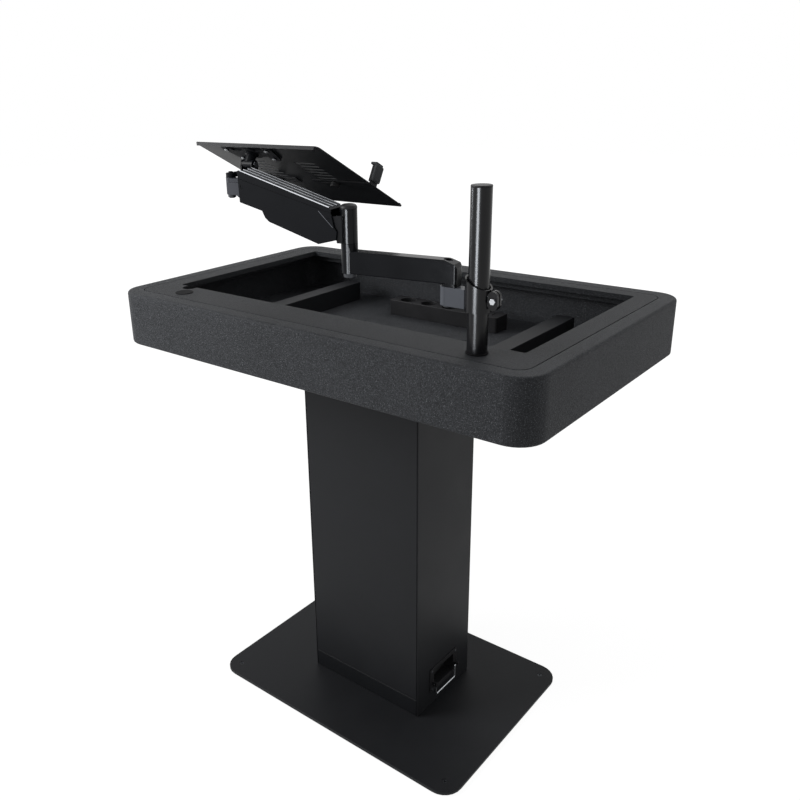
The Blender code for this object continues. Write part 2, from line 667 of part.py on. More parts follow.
def make_housing(finish):
    """Coated tabletop box: thick walls, a floor, and a ledge below the rim that carries the insert panel."""
    outline = rounded_rectangle(HOUSING_WIDTH, HOUSING_DEPTH, HOUSING_CORNER, steps=8)
    housing = piece("housing_shell", prism(outline, HOUSING_BOTTOM, TOP_Z), finish["coating"])
    bevel = housing.modifiers.new("fillet", "BEVEL")
    bevel.width = HOUSING_FILLET
    bevel.segments = 3
    bevel.limit_method = "ANGLE"
    bevel.angle_limit = radians(60)
    seat = INSERT_BOTTOM - GAP
    ledge_bottom = seat - LEDGE_THICKNESS
    recess = rounded_rectangle(
        HOUSING_WIDTH - 2 * HOUSING_RIM, HOUSING_DEPTH - 2 * HOUSING_RIM,
        insert_corner() + INSERT_GAP, steps=5
    )
    cut(housing, prism(recess, seat, TOP_Z + OVERCUT), "insert_recess")
    inset = HOUSING_RIM + HOUSING_LEDGE
    opening = rounded_rectangle(
        HOUSING_WIDTH - 2 * inset, HOUSING_DEPTH - 2 * inset, insert_corner() / 2, steps=3
    )
    cut(housing, prism(opening, ledge_bottom - 0.003, seat + 0.003), "well_opening")
    well = rounded_rectangle(
        HOUSING_WIDTH - 2 * HOUSING_WALL, HOUSING_DEPTH - 2 * HOUSING_WALL,
        HOUSING_CORNER - HOUSING_WALL, steps=4
    )
    cut(housing, prism(well, FLOOR_TOP, ledge_bottom), "well")
    holes = box(
        -FLOOR_HOLE_WIDTH / 2, FLOOR_HOLE_WIDTH / 2, -FLOOR_HOLE_DEPTH / 2, FLOOR_HOLE_DEPTH / 2,
        HOUSING_BOTTOM - OVERCUT, FLOOR_TOP + OVERCUT,
    )
    for place in frame_bolt_places():
        cylinder(FRAME_BOLT_RADIUS, HOUSING_BOTTOM - OVERCUT, FLOOR_TOP + OVERCUT, place, 12, holes)
    cut(housing, holes, "floor_holes")


def insert_corner():
    """Corner radius of the insert panel, concentric with the housing's but not too tight."""
    return max(HOUSING_CORNER - HOUSING_RIM, 0.026)


def make_insert(finish):
    margin = 2 * (HOUSING_RIM + INSERT_GAP)
    outline = rounded_rectangle(HOUSING_WIDTH - margin, HOUSING_DEPTH - margin, insert_corner(), steps=5)
    panel = piece("insert_panel", prism(outline, INSERT_BOTTOM, TOP_Z), finish["coating"])
    opening = rounded_rectangle(CUTOUT_WIDTH, CUTOUT_DEPTH, CUTOUT_CORNER, (0.0, CUTOUT_CENTRE_Y), 2)
    cut(panel, prism(opening, INSERT_BOTTOM - OVERCUT, TOP_Z + OVERCUT), "equipment_opening")
    notch_y = CUTOUT_CENTRE_Y - CUTOUT_DEPTH / 2 - NOTCH_RADIUS / 2
    cut(
        panel, cylinder(NOTCH_RADIUS, INSERT_BOTTOM - OVERCUT, TOP_Z + OVERCUT, (NOTCH_X, notch_y), 20),
        "cable_notch",
    )
    holes = bmesh.new()
    for side in (-1, 1):
        cylinder(
            POLE_RADIUS + GAP, INSERT_BOTTOM - OVERCUT, TOP_Z + OVERCUT, (side * POLE_X, POLE_Y), 32, holes
        )
    cut(panel, holes, "pole_holes")
    rim = POLE_RADIUS + PLUG_RIM
    top = TOP_Z + GAP
    foot = TOP_Z - PLUG_DEPTH
    profile = [(0.0, foot), (POLE_RADIUS, foot), (POLE_RADIUS, top), (rim, top)]
    profile += [(rim - 0.0005, top + 0.001), (0.0, top + 0.001)]
    piece("spare_hole_plug", turned(profile, 28, (-POLE_X, POLE_Y)), finish["plastic"])


def make_rails(finish):
    """Two inverted channels on the floor of the well. The equipment stands on them."""
    front = CUTOUT_CENTRE_Y - CUTOUT_DEPTH / 2 + RAIL_END
    back = CUTOUT_CENTRE_Y + CUTOUT_DEPTH / 2 - RAIL_END
    low = FLOOR_TOP + GAP
    w = RAIL_WIDTH / 2
    t = RAIL_SHEET
    for side, name in ((-1, "support_rail_left"), (1, "support_rail_right")):
        outline = [
            (-w, low), (-w + t, low), (-w + t, SUPPORT_Z - t), (w - t, SUPPORT_Z - t), (w - t, low), (w, low)
        ]
        outline += [(w, SUPPORT_Z), (-w, SUPPORT_Z)]
        outline = [(x + side * RAIL_X, z) for x, z in outline]
        piece(name, across(outline, front, back), finish["powder"])


def make_outlet_strip(finish):
    """Outlet strip on the floor of the well, with three outlets and a rocker switch."""
    low = FLOOR_TOP + GAP
    high = low + STRIP_HEIGHT
    outline = rounded_rectangle(STRIP_LENGTH, STRIP_WIDTH, STRIP_CORNER, (STRIP_X, STRIP_Y), 3)
    strip = piece("outlet_strip", prism(outline, low, high), finish["plastic"])
    outlets = bmesh.new()
    first = STRIP_X - STRIP_LENGTH / 2 + OUTLET_PITCH / 2 + 0.010
    for number in range(3):
        place = (first + number * OUTLET_PITCH, STRIP_Y)
        cylinder(OUTLET_RADIUS, high - OUTLET_DEPTH, high + OVERCUT, place, 24, outlets)
    cut(strip, outlets, "outlets")
    switch_x = STRIP_X + STRIP_LENGTH / 2 - SWITCH_INSET
    half_x = SWITCH_LENGTH / 2 + 0.0015
    half_y = SWITCH_WIDTH / 2 + PIN_GAP
    window = box(
        switch_x - half_x, switch_x + half_x, STRIP_Y - half_y, STRIP_Y + half_y, high - 0.010, high + 0.01
    )
    cut(strip, window, "switch_window")
    rocker = frame("switch_rock", (switch_x, STRIP_Y, high - 0.002), None, (0.0, radians(8), 0.0))
    x = SWITCH_LENGTH / 2
    outline = [(-x, -0.0045), (x, -0.0045), (x, 0.0045), (0.0, 0.0025), (-x, 0.0045)]
    piece("rocker_switch", across(outline, -SWITCH_WIDTH / 2, SWITCH_WIDTH / 2), finish["plastic"], rocker)


def make_floor_grommet(finish):
    """Rubber edging round the cable hole in the floor of the well."""
    low = HOUSING_BOTTOM + 0.002
    high = FLOOR_TOP + GAP + 0.002
    outer = rounded_rectangle(FLOOR_HOLE_WIDTH - 2 * GAP, FLOOR_HOLE_DEPTH - 2 * GAP, 0.001, steps=1)
    inner = rounded_rectangle(FLOOR_HOLE_WIDTH - 0.006, FLOOR_HOLE_DEPTH - 0.006, 0.004, steps=3)
    grommet = piece("floor_grommet", prism(outer, low, high), finish["rubber"])
    lip = rounded_rectangle(FLOOR_HOLE_WIDTH + 0.010, FLOOR_HOLE_DEPTH + 0.010, 0.006, steps=3)
    join(grommet, prism(lip, FLOOR_TOP + GAP, high + 0.001), "lip")
    cut(grommet, prism(inner, low - OVERCUT, high + OVERCUT), "mouth")


def make_pole(finish):
    """Steel tube in a socket bolted under the insert panel, with a ring at its foot and a cap on top."""
    place = (POLE_X, POLE_Y)
    socket_low = INSERT_BOTTOM - POLE_SOCKET_DEPTH
    floor = socket_low + POLE_SOCKET_WALL
    bore = POLE_RADIUS + GAP
    wall = bore + POLE_SOCKET_WALL
    seat = INSERT_BOTTOM - GAP
    flange = seat - POLE_FLANGE_HEIGHT
    profile = [(0.0, socket_low), (wall, socket_low), (wall, flange), (POLE_FLANGE_RADIUS, flange)]
    profile += [(POLE_FLANGE_RADIUS, seat), (bore, seat), (bore, floor), (0.0, floor)]
    piece("pole_socket", turned(profile, 32, place), finish["zinc"])
    inner = POLE_RADIUS - POLE_WALL
    piece(
        "pole", tube(POLE_RADIUS, inner, floor + GAP, POLE_TOP - POLE_CAP - GAP, 40, 0.0, place),
        finish["gloss"],
    )
    ring = tube(POLE_RING_RADIUS, bore, TOP_Z + GAP, TOP_Z + GAP + POLE_RING_HEIGHT, 36, 0.001, place)
    piece("pole_foot_ring", ring, finish["gloss"])
    plug = inner - GAP
    low = POLE_TOP - POLE_CAP
    foot = low - POLE_PLUG_DEPTH
    profile = [(0.0, foot), (plug, foot), (plug, low), (POLE_RADIUS, low)]
    profile += [(POLE_RADIUS, POLE_TOP - 0.0008), (POLE_RADIUS - 0.0008, POLE_TOP), (0.0, POLE_TOP)]
    piece("pole_cap", turned(profile, 36, place), finish["plastic"])


def make_clamp(finish, height):
    """Split clamp round the pole with its bolt and nut, and the short link to the extension arm."""
    liner_inner = POLE_RADIUS + GAP
    liner_outer = liner_inner + LINER_WALL
    inset = 0.0005
    liner = tube(liner_outer, liner_inner, inset, CLAMP_HEIGHT - inset, 36)
    piece("clamp_liner", liner, finish["plastic"], height)
    turn = frame("clamp_turn", (0.0, 0.0, 0.0), height, (0.0, 0.0, pi))
    bore = liner_outer + GAP
    collar = piece("clamp_collar", tube(CLAMP_RADIUS, bore, 0.0, CLAMP_PEAK, 36), finish["gloss"], turn)
    reach = CLAMP_RADIUS + EAR_LENGTH
    inner = CLAMP_RADIUS - CLAMP_WALL / 2
    ears = bmesh.new()
    for side in (-1, 1):
        centre = (-(reach + inner) / 2, EAR_CENTRE_Z)
        outline = rounded_rectangle(reach - inner, EAR_HEIGHT, EAR_CORNER, centre, 4)
        near = side * EAR_SLIT / 2
        far = side * (EAR_SLIT / 2 + EAR_THICKNESS)
        across(outline, min(near, far), max(near, far), ears)
    join(collar, ears, "ears")
    cut(
        collar,
        box(-reach - OVERCUT, -bore + 0.004, -EAR_SLIT / 2, EAR_SLIT / 2, -0.01, CLAMP_PEAK + OVERCUT),
        "slit",
    )
    far_side = 2 * CLAMP_RADIUS
    slope = [
        (-2 * far_side, CLAMP_HEIGHT),
        (CLAMP_RADIUS - CLAMP_SLOPE_RUN, CLAMP_HEIGHT), (CLAMP_RADIUS, CLAMP_PEAK),
    ]
    slope += [(CLAMP_RADIUS, 2 * CLAMP_PEAK), (-2 * far_side, 2 * CLAMP_PEAK)]
    cut(collar, across(slope, -far_side, far_side), "slope")
    bolt_place = (-(CLAMP_RADIUS + CLAMP_BOLT_REACH), EAR_CENTRE_Z)
    hole = circle(CLAMP_BOLT_RADIUS + PIN_GAP, bolt_place, 16)
    cut(collar, across(hole, -0.03, 0.03), "bolt_hole")
    make_clamp_bolt(finish, turn, bolt_place)
    make_link(finish, turn)
    return turn


def make_clamp_bolt(finish, turn, place):
    outside = EAR_SLIT / 2 + EAR_THICKNESS + GAP
    nut = CLAMP_NUT_HEIGHT
    bolt = piece(
        "clamp_bolt", across(circle(CLAMP_BOLT_RADIUS, place, 16), -outside - nut - 0.002, outside + 0.001),
        finish["zinc"], turn,
    )
    join(bolt, across(circle(CLAMP_BOLT_HEAD, place, 6), outside, outside + 0.004), "head")
    ring = piece(
        "clamp_nut", across(circle(CLAMP_BOLT_HEAD, place, 6), -outside - nut, -outside), finish["zinc"], turn
    )
    cut(ring, across(circle(CLAMP_BOLT_RADIUS + GAP, place, 16), -0.05, 0.05), "thread")


def make_link(finish, turn):
    """Link block from the collar to the first pivot, hollowed to the collar's curve."""
    low = LINK_LIFT
    high = LINK_TOP - CLAMP_BOTTOM
    seat = CLAMP_RADIUS + GAP
    half = LINK_WIDTH / 2
    swing = asin(half / seat)
    arc = [swing - 2 * swing * step / 6 for step in range(7)]
    outline = [(LINK_LENGTH, -half), (LINK_LENGTH, half)]
    outline += [(seat * cos(angle), seat * sin(angle)) for angle in arc]
    link = piece("clamp_link", prism(outline, low, high), finish["satin"], turn)
    join(link, cylinder(LINK_BOSS_RADIUS, low, high, (LINK_LENGTH, 0.0), 28), "boss")
    cut(link, cylinder(PIVOT_RADIUS + PIN_GAP, -0.01, high + OVERCUT, (LINK_LENGTH, 0.0), 20), "pivot_hole")
    bottom = low - GAP
    foot = bottom - PIVOT_FOOT_HEIGHT
    top = EXTENSION_TOP - CLAMP_BOTTOM - PIVOT_HEAD_SINK
    profile = [(0.0, foot), (PIVOT_FOOT_RADIUS, foot), (PIVOT_FOOT_RADIUS, bottom), (PIVOT_RADIUS, bottom)]
    profile += [(PIVOT_RADIUS, top - PIVOT_HEAD_HEIGHT), (PIVOT_HEAD_RADIUS, top - PIVOT_HEAD_HEIGHT)]
    profile += [(PIVOT_HEAD_RADIUS, top), (0.0, top)]
    piece("link_pivot_pin", turned(profile, 24, (LINK_LENGTH, 0.0)), finish["dark_steel"], turn)


def extension_outline():
    """Plan of the extension arm: round at the post, nearly square at the tail over the link."""
    half = EXTENSION_WIDTH / 2
    points = stadium(0.0, EXTENSION_LENGTH, half)[:9]
    for side, start in ((1, pi / 2), (-1, pi)):
        centre_x = EXTENSION_CORNER - EXTENSION_TAIL
        centre_y = side * (half - EXTENSION_CORNER)
        for step in range(4):
            angle = start + step * pi / 6
            points.append(
                (centre_x + EXTENSION_CORNER * cos(angle), centre_y + EXTENSION_CORNER * sin(angle))
            )
    return points


def make_extension(finish, turn):
    """Extension arm: a bar from the link's pivot to the sleeve that carries the post."""
    swing = frame("extension_turn", (LINK_LENGTH, 0.0, 0.0), turn, (0.0, 0.0, EXTENSION_YAW - pi))
    low = EXTENSION_BOTTOM - CLAMP_BOTTOM
    high = EXTENSION_TOP - CLAMP_BOTTOM
    sleeve_top = SLEEVE_TOP - CLAMP_BOTTOM
    half = EXTENSION_WIDTH / 2
    arm = piece("extension_arm", prism(extension_outline(), low, high), finish["casting"], swing)
    bevel = arm.modifiers.new("edge", "BEVEL")
    bevel.width = EXTENSION_EDGE
    bevel.segments = 1
    bevel.limit_method = "ANGLE"
    bevel.angle_limit = radians(60)
    end = (EXTENSION_LENGTH, 0.0)
    join(arm, cylinder(POST_RADIUS, low - 0.0001, sleeve_top, end, 32), "sleeve")
    seat = low - EXTENSION_LIFT + GAP
    join(arm, cylinder(EXTENSION_NECK_RADIUS, seat + 0.0001, low + 0.002, (0.0, 0.0), 24), "neck")
    inset = 0.0003
    leg_start = 0.0012
    leg_length = EXTENSION_TAIL - inset + leg_start
    leg_centre = (leg_start - leg_length / 2, 0.0)
    leg = rounded_rectangle(leg_length, EXTENSION_WIDTH - 2 * inset, EXTENSION_CORNER, leg_centre, 3)
    join(arm, prism(leg, seat, low + 2 * EXTENSION_EDGE), "leg")
    cut(arm, cylinder(PIVOT_RADIUS + PIN_GAP, 0.0, high + OVERCUT, (0.0, 0.0), 20), "pivot_hole")
    seat = high - PIVOT_HEAD_SINK - PIVOT_HEAD_HEIGHT - GAP
    cut(arm, cylinder(PIVOT_HEAD_RADIUS + PIN_GAP, seat, high + OVERCUT, (0.0, 0.0), 24), "pivot_seat")
    cut(arm, cylinder(SPIGOT_RADIUS + PIN_GAP, 0.0, sleeve_top + OVERCUT, end, 24), "spigot_hole")
    start = half + CHANNEL_MARGIN
    stop = EXTENSION_LENGTH - POST_RADIUS - CHANNEL_MARGIN
    y = CHANNEL_WIDTH / 2
    cut(arm, box(start, stop, -y, y, low - OVERCUT, low + CHANNEL_DEPTH), "cable_channel")
    cover = box(start + GAP, stop - GAP, -y + GAP, y - GAP, low, low + CHANNEL_COVER)
    piece("extension_cable_cover", cover, finish["plastic"], swing)
    slope = [(x, high + drop) for x, drop in EXTENSION_SLOPE]
    above = high + 0.02
    slope += [(slope[-1][0], above), (slope[0][0], above)]
    cut(arm, across(slope, -EXTENSION_WIDTH, EXTENSION_WIDTH), "tail_slope")
    return swing


def make_post(finish, swing):
    """Post on the end of the extension arm: a spigot in its sleeve, and two cheeks for the root pins."""
    post = frame("post_turn", (EXTENSION_LENGTH, 0.0, 0.0), swing, (0.0, 0.0, ARM_YAW - EXTENSION_YAW))
    low = SLEEVE_TOP - CLAMP_BOTTOM + PIN_GAP
    high = POST_TOP - CLAMP_BOTTOM - POST_DOME
    foot_top = EXTENSION_BOTTOM - CLAMP_BOTTOM - 0.0001 - GAP
    foot_low = foot_top - POST_FOOT_HEIGHT
    spigot_low = foot_low + 0.002 + GAP
    profile = [(0.0, spigot_low), (SPIGOT_RADIUS, spigot_low), (SPIGOT_RADIUS, low), (POST_RADIUS, low)]
    profile += [(POST_RADIUS, high), (0.0, high)]
    body = piece("post_swivel", turned(profile, 32), finish["casting"], post)
    pin_z = ROOT_PIN_Z - CLAMP_BOTTOM
    block_low = low + 0.001
    block = box(0.004, POST_RADIUS + 0.0003, -CHEEK_HALF_WIDTH, CHEEK_HALF_WIDTH, block_low, pin_z + 0.007)
    join(body, block, "block")
    make_cheeks(body, POST_RADIUS - 0.004, ROOT_OFFSET, pin_z, block_low + 0.0005)
    holes = bmesh.new()
    for z in (pin_z, pin_z - LINK_SPACING):
        across(circle(ARM_PIN_RADIUS + PIN_GAP, (ROOT_OFFSET, z), 16), -0.03, 0.03, holes)
    cut(body, holes, "pin_holes")
    anchor = circle(ARM_PIN_RADIUS, (ROOT_OFFSET, pin_z - SPRING_DROP), 16)
    join(body, across(anchor, -0.001, CHEEK_HALF_WIDTH - 0.001), "spring_anchor")
    inner = SPIGOT_RADIUS + GAP
    profile = [(0.0, foot_low), (POST_FOOT_RADIUS - 0.001, foot_low), (POST_FOOT_RADIUS, foot_low + 0.001)]
    profile += [
        (POST_FOOT_RADIUS, foot_top), (inner, foot_top), (inner, foot_low + 0.002), (0.0, foot_low + 0.002)
    ]
    piece("post_foot_nut", turned(profile, 28), finish["dark_steel"], post)
    base = high + GAP
    rise = POST_TOP - CLAMP_BOTTOM - base
    profile = [(0.0, base)]
    for step in range(7):
        angle = step / 6 * pi / 2
        profile.append((POST_RADIUS * (0.45 + 0.55 * cos(angle)), base + 0.002 + (rise - 0.002) * sin(angle)))
    profile.insert(1, (POST_RADIUS, base))
    profile.append((0.0, base + rise))
    piece("post_cap", turned(profile, 28), finish["plastic"], post)
    for name, z, half in (
        ("root_pin_upper", pin_z, ARM_WIDTH / 2 - 0.0005),
        ("root_pin_lower", pin_z - LINK_SPACING, CHEEK_HALF_WIDTH),
    ):
        pin = across(circle(ARM_PIN_RADIUS, (ROOT_OFFSET, z), 16), -half, half)
        piece(name, pin, finish["zinc"], post)
    return post


def make_cheeks(body, start, stop, pin_z, start_low):
    """Joins two upright cheeks to a body. They hold two pins, one above the other."""
    radius = ARM_PIN_RADIUS + 0.003
    low = pin_z - LINK_SPACING
    turn = 1 if stop > start else -1
    outline = [(start, start_low)]
    outline += [
        (stop + turn * radius * sin(step * pi / 8), low - radius * cos(step * pi / 8)) for step in range(5)
    ]
    outline += [
        (stop + turn * radius * cos(step * pi / 8), pin_z + radius * sin(step * pi / 8)) for step in range(5)
    ]
    outline += [(start, pin_z + radius)]
    cheeks = bmesh.new()
    for side in (-1, 1):
        near = side * (CHEEK_HALF_WIDTH - CHEEK_THICKNESS)
        far = side * CHEEK_HALF_WIDTH
        across(outline, min(near, far), max(near, far), cheeks)
    join(body, cheeks, "cheeks")


def make_arm(finish, post):
    """Gas-spring arm: a deep channel that carries the pins, its top cap, and the gas spring inside."""
    lift = frame("arm_lift", (ROOT_OFFSET, 0.0, ROOT_PIN_Z - CLAMP_BOTTOM), post, (0.0, -ARM_RISE, 0.0))
    half = ARM_WIDTH / 2
    inside = half - ARM_SHEET
    tip = ARM_LENGTH - 0.0015
    tip_at_seam = tip + (ARM_SEAM + ARM_TIP_DROP) * ARM_TIP_LEAN
    stud_x = SPRING_START + SPRING_LENGTH + 0.006
    step = ARM_LENGTH - ARM_BELLY_STEP
    belly = (0.009, -ARM_BELLY_DROP)
    outline = [(-0.002, ARM_SEAM), (-0.014, -0.010), (-0.0205, -0.015), (-0.023, -0.030), belly]
    outline += [(step - 0.019, -0.043), (step - 0.009, -0.0385), (step, -ARM_TIP_DROP), (tip, -ARM_TIP_DROP)]
    outline += [(tip_at_seam, ARM_SEAM)]
    channel = piece("arm_channel", across(outline, -half, half), finish["casting"], lift)
    t = ARM_SHEET
    beyond = 0.03
    over = ARM_SEAM + 0.01
    under = 1.5 * belly[1]
    inner = [(-beyond, over), (-beyond, under), (belly[0] + 0.002, under), (belly[0] + 0.002, belly[1] + t)]
    inner += [(step - 0.020, -0.043 + t), (step - 0.010, -0.0385 + t), (step - 0.001, -ARM_TIP_DROP + t)]
    inner += [(ARM_LENGTH + beyond, -ARM_TIP_DROP + t), (ARM_LENGTH + beyond, over)]
    cut(channel, across(inner, -inside, inside), "hollow")
    stud = across(circle(ARM_PIN_RADIUS, (stud_x, -SPRING_DROP), 16), SPRING_Y - 0.006, inside + 0.001)
    join(channel, stud, "spring_stud")
    holes = bmesh.new()
    for x in (0.0, ARM_LENGTH):
        across(circle(ARM_PIN_RADIUS + PIN_GAP, (x, 0.0), 16), -0.03, 0.03, holes)
    cut(channel, holes, "pin_holes")
    low = ARM_SEAM + GAP
    tip_at_top = tip_at_seam + (ARM_TIP_TOP - ARM_SEAM) * ARM_TIP_LEAN
    round_off = 0.002
    outline = [(-0.002, low), (tip_at_seam, low), (tip_at_top, ARM_TIP_TOP - round_off)]
    outline += [(tip_at_top - round_off, ARM_TIP_TOP), (0.006, ARM_TOP), (0.001, ARM_TOP - 0.0015)]
    outline += [(-0.002, ARM_TOP - 0.005)]
    cap = piece("arm_top_cap", across(outline, -half, half), finish["plastic"], lift)
    ends = (-beyond, ARM_LENGTH + beyond)
    hollow = [(ends[0], low - OVERCUT), (ends[1], low - OVERCUT), (ends[1], ARM_TIP_TOP - ARM_SHEET)]
    hollow += [(0.0, ARM_TOP - ARM_SHEET), (ends[0], ARM_TOP - ARM_SHEET)]
    cut(cap, across(hollow, -inside, inside), "hollow")
    make_gas_spring(finish, lift, stud_x)
    return lift


def make_gas_spring(finish, lift, stud_x):
    """Cylinder with an eye on the channel's stud. Its rod ends at the anchor between the cheeks."""
    stop = SPRING_START + SPRING_LENGTH
    shape = prism(circle(SPRING_RADIUS, (SPRING_Y, -SPRING_DROP), 24), SPRING_START, stop, None, ALONG_X)
    spring = piece("gas_spring_cylinder", shape, finish["gloss"], lift)
    eye = across(stadium(stop - 0.002, stud_x, 0.0055, -SPRING_DROP), SPRING_Y - 0.004, SPRING_Y + 0.004)
    join(spring, eye, "eye")
    cut(spring, across(circle(ARM_PIN_RADIUS + PIN_GAP, (stud_x, -SPRING_DROP), 16), -0.03, 0.03), "eye_hole")
    bore = circle(SPRING_ROD_RADIUS + GAP, (SPRING_Y, -SPRING_DROP), 16)
    cut(
        spring,
        prism(bore, SPRING_START - OVERCUT, SPRING_START + SPRING_ROD_IN + 0.012, None, ALONG_X), "bore",
    )
    rod_start = ARM_PIN_RADIUS + 0.0015 - SPRING_DROP * sin(ARM_RISE)
    shape = prism(
        circle(SPRING_ROD_RADIUS, (SPRING_Y, -SPRING_DROP), 16),
        rod_start, SPRING_START + SPRING_ROD_IN, None, ALONG_X
    )
    piece("gas_spring_rod", shape, finish["zinc"], lift)


def make_parallel_bar(finish, post):
    """Lower link. It keeps the end bracket upright as the arm rises."""
    place = (ROOT_OFFSET, 0.0, ROOT_PIN_Z - CLAMP_BOTTOM - LINK_SPACING)
    level = frame("parallel_lift", place, post, (0.0, -ARM_RISE, 0.0))
    half = PARALLEL_BAR_WIDTH / 2
    outline = stadium(0.0, ARM_LENGTH, PARALLEL_BAR_HEIGHT / 2, 0.0, 6)
    bar = piece(
        "parallel_bar", across(outline, PARALLEL_BAR_Y - half, PARALLEL_BAR_Y + half), finish["satin"], level
    )
    holes = bmesh.new()
    for x in (0.0, ARM_LENGTH):
        across(circle(ARM_PIN_RADIUS + PIN_GAP, (x, 0.0), 16), -0.03, 0.03, holes)
    cut(bar, holes, "pin_holes")


def make_bracket(finish, lift):
    """End bracket: an upright tube for the head's stem, with cheeks for the arm's tip pins."""
    level = frame("bracket_level", (ARM_LENGTH, 0.0, 0.0), lift, (0.0, ARM_RISE, 0.0))
    low = -BRACKET_DROP
    high = BRACKET_RISE
    axis = (TIP_OFFSET, 0.0)
    bracket = piece("end_bracket", cylinder(BRACKET_RADIUS, low, high, axis, 28), finish["satin"], level)
    near = BRACKET_NEAR
    far = TIP_OFFSET - 0.003
    block = box(near, far, -CHEEK_HALF_WIDTH, CHEEK_HALF_WIDTH, low + 0.0006, BRACKET_BLOCK_TOP)
    join(bracket, block, "block")
    web = BRACKET_RADIUS - 0.0002
    join(bracket, box(near + 0.0002, far, -web, web, BRACKET_BLOCK_TOP - 0.002, BRACKET_WEB_TOP), "web")
    make_cheeks(bracket, near + 0.0015, 0.0, 0.0, low + 0.0012)
    holes = bmesh.new()
    for z in (0.0, -LINK_SPACING):
        across(circle(ARM_PIN_RADIUS + PIN_GAP, (0.0, z), 16), -0.03, 0.03, holes)
    cut(bracket, holes, "pin_holes")
    cut(bracket, cylinder(HEAD_STEM_RADIUS + PIN_GAP, low - OVERCUT, high + OVERCUT, axis, 20), "stem_hole")
    for name, z, half in (
        ("tip_pin_upper", 0.0, ARM_WIDTH / 2 - 0.0005),
        ("tip_pin_lower", -LINK_SPACING, CHEEK_HALF_WIDTH),
    ):
        piece(name, across(circle(ARM_PIN_RADIUS, (0.0, z), 16), -half, half), finish["zinc"], level)
    return level


def make_head(finish, level):
    """Head: a stem that turns in the bracket, and a bar with two ears for the tilt pin."""
    turn = frame("head_turn", (TIP_OFFSET, 0.0, 0.0), level, (0.0, 0.0, -ARM_YAW))
    bar_low = BRACKET_RISE + PIN_GAP
    bar_high = bar_low + HEAD_BAR_HEIGHT
    stem_low = -BRACKET_DROP - PIN_GAP - STEM_NUT_HEIGHT
    width = HEAD_BAR_WIDTH / 2
    bar = [(-x, y) for y, x in stadium(0.0, HEAD_REACH - width, width)]
    knuckle = piece("head_knuckle", prism(bar, bar_low, bar_high), finish["gloss"], turn)
    join(knuckle, cylinder(HEAD_STEM_RADIUS, stem_low - 0.001, bar_high - 0.001, (0.0, 0.0), 20), "stem")
    join(
        knuckle,
        cylinder(STEM_TOP_RADIUS, bar_high - 0.001, bar_high + STEM_TOP_HEIGHT, (0.0, 0.0), 16), "stem_top",
    )
    pin_z = TILT_PIN_RISE
    inner = TILT_BLOCK_WIDTH / 2 + PIN_GAP
    outer = inner + HEAD_EAR_THICKNESS
    r = HEAD_EAR_RADIUS
    join(knuckle, box(-outer, outer, HEAD_REACH - r, HEAD_REACH + r, bar_low, bar_high - 0.0005), "yoke")
    side_view = [(HEAD_REACH - r, bar_low + 0.001), (HEAD_REACH + r, bar_low + 0.001)]
    side_view += [(HEAD_REACH + r * cos(step * pi / 8), pin_z + r * sin(step * pi / 8)) for step in range(9)]
    ears = bmesh.new()
    for side in (-1, 1):
        near = side * inner
        far = side * outer
        prism(side_view, min(near, far), max(near, far), ears, ALONG_X)
    join(knuckle, ears, "ears")
    hole = circle(TILT_PIN_RADIUS + PIN_GAP, (HEAD_REACH, pin_z), 16)
    cut(knuckle, prism(hole, -0.05, 0.05, None, ALONG_X), "tilt_hole")
    nut_high = -BRACKET_DROP - PIN_GAP
    nut = tube(STEM_NUT_RADIUS, HEAD_STEM_RADIUS + GAP, nut_high - STEM_NUT_HEIGHT, nut_high, 24, 0.0008)
    piece("head_stem_nut", nut, finish["dark_steel"], turn)
    bolt = prism(
        circle(TILT_PIN_RADIUS, (HEAD_REACH, pin_z), 16), -outer - 0.004, outer + 0.001, None, ALONG_X
    )
    tilt_bolt = piece("tilt_bolt", bolt, finish["zinc"], turn)
    for name, x0, x1 in (("head", outer + GAP, outer + 0.004), ("nut", -outer - 0.0035, -outer - GAP)):
        join(tilt_bolt, prism(circle(TILT_BOLT_HEAD, (HEAD_REACH, pin_z), 6), x0, x1, None, ALONG_X), name)
    return turn


def make_tilt_block(finish, turn):
    """Barrel between the ears, with the disc and the spigot that the mounting plate turns on."""
    place = (0.0, HEAD_REACH, TILT_PIN_RISE)
    tilt = frame("tray_tilt", place, turn, (-TRAY_TILT, 0.0, 0.0))
    half = TILT_BLOCK_WIDTH / 2
    radius = HEAD_EAR_RADIUS - 0.0007
    top = PLATE_STANDOFF - PIN_GAP
    block = piece(
        "tilt_block", prism(circle(radius, (0.0, 0.0), 24), -half, half, None, ALONG_X), finish["gloss"], tilt
    )
    join(block, cylinder(half - 0.0015, 0.002, top, (0.0, 0.0), 24), "neck")
    join(block, cylinder(TILT_DISC_RADIUS, top - 0.004, top - 0.0001, (0.0, 0.0), 28), "disc")
    join(
        block,
        cylinder(TILT_SPIGOT_RADIUS, top - 0.002, PLATE_STANDOFF + PLATE_THICKNESS - GAP, (0.0, 0.0), 20),
        "spigot",
    )
    cut(
        block,
        prism(circle(TILT_PIN_RADIUS + PIN_GAP, (0.0, 0.0), 16), -0.03, 0.03, None, ALONG_X), "tilt_hole",
    )
    return tilt


def lobe_outline(side):
    """Outline round the two screws on one side, as wide as the lobe's radius."""
    (rear_x, rear_y), (front_x, front_y) = PLATE_SCREWS
    slant = atan2(front_y - rear_y, side * (front_x - rear_x))
    points = []
    for x, y, start in ((side * front_x, front_y, slant - pi / 2), (side * rear_x, rear_y, slant + pi / 2)):
        points += [(x + a, y + b) for a, b in (
            (PLATE_LOBE_RADIUS * cos(start + step * pi / 8), PLATE_LOBE_RADIUS * sin(start + step * pi / 8))
            for step in range(9)
        )]
    return points


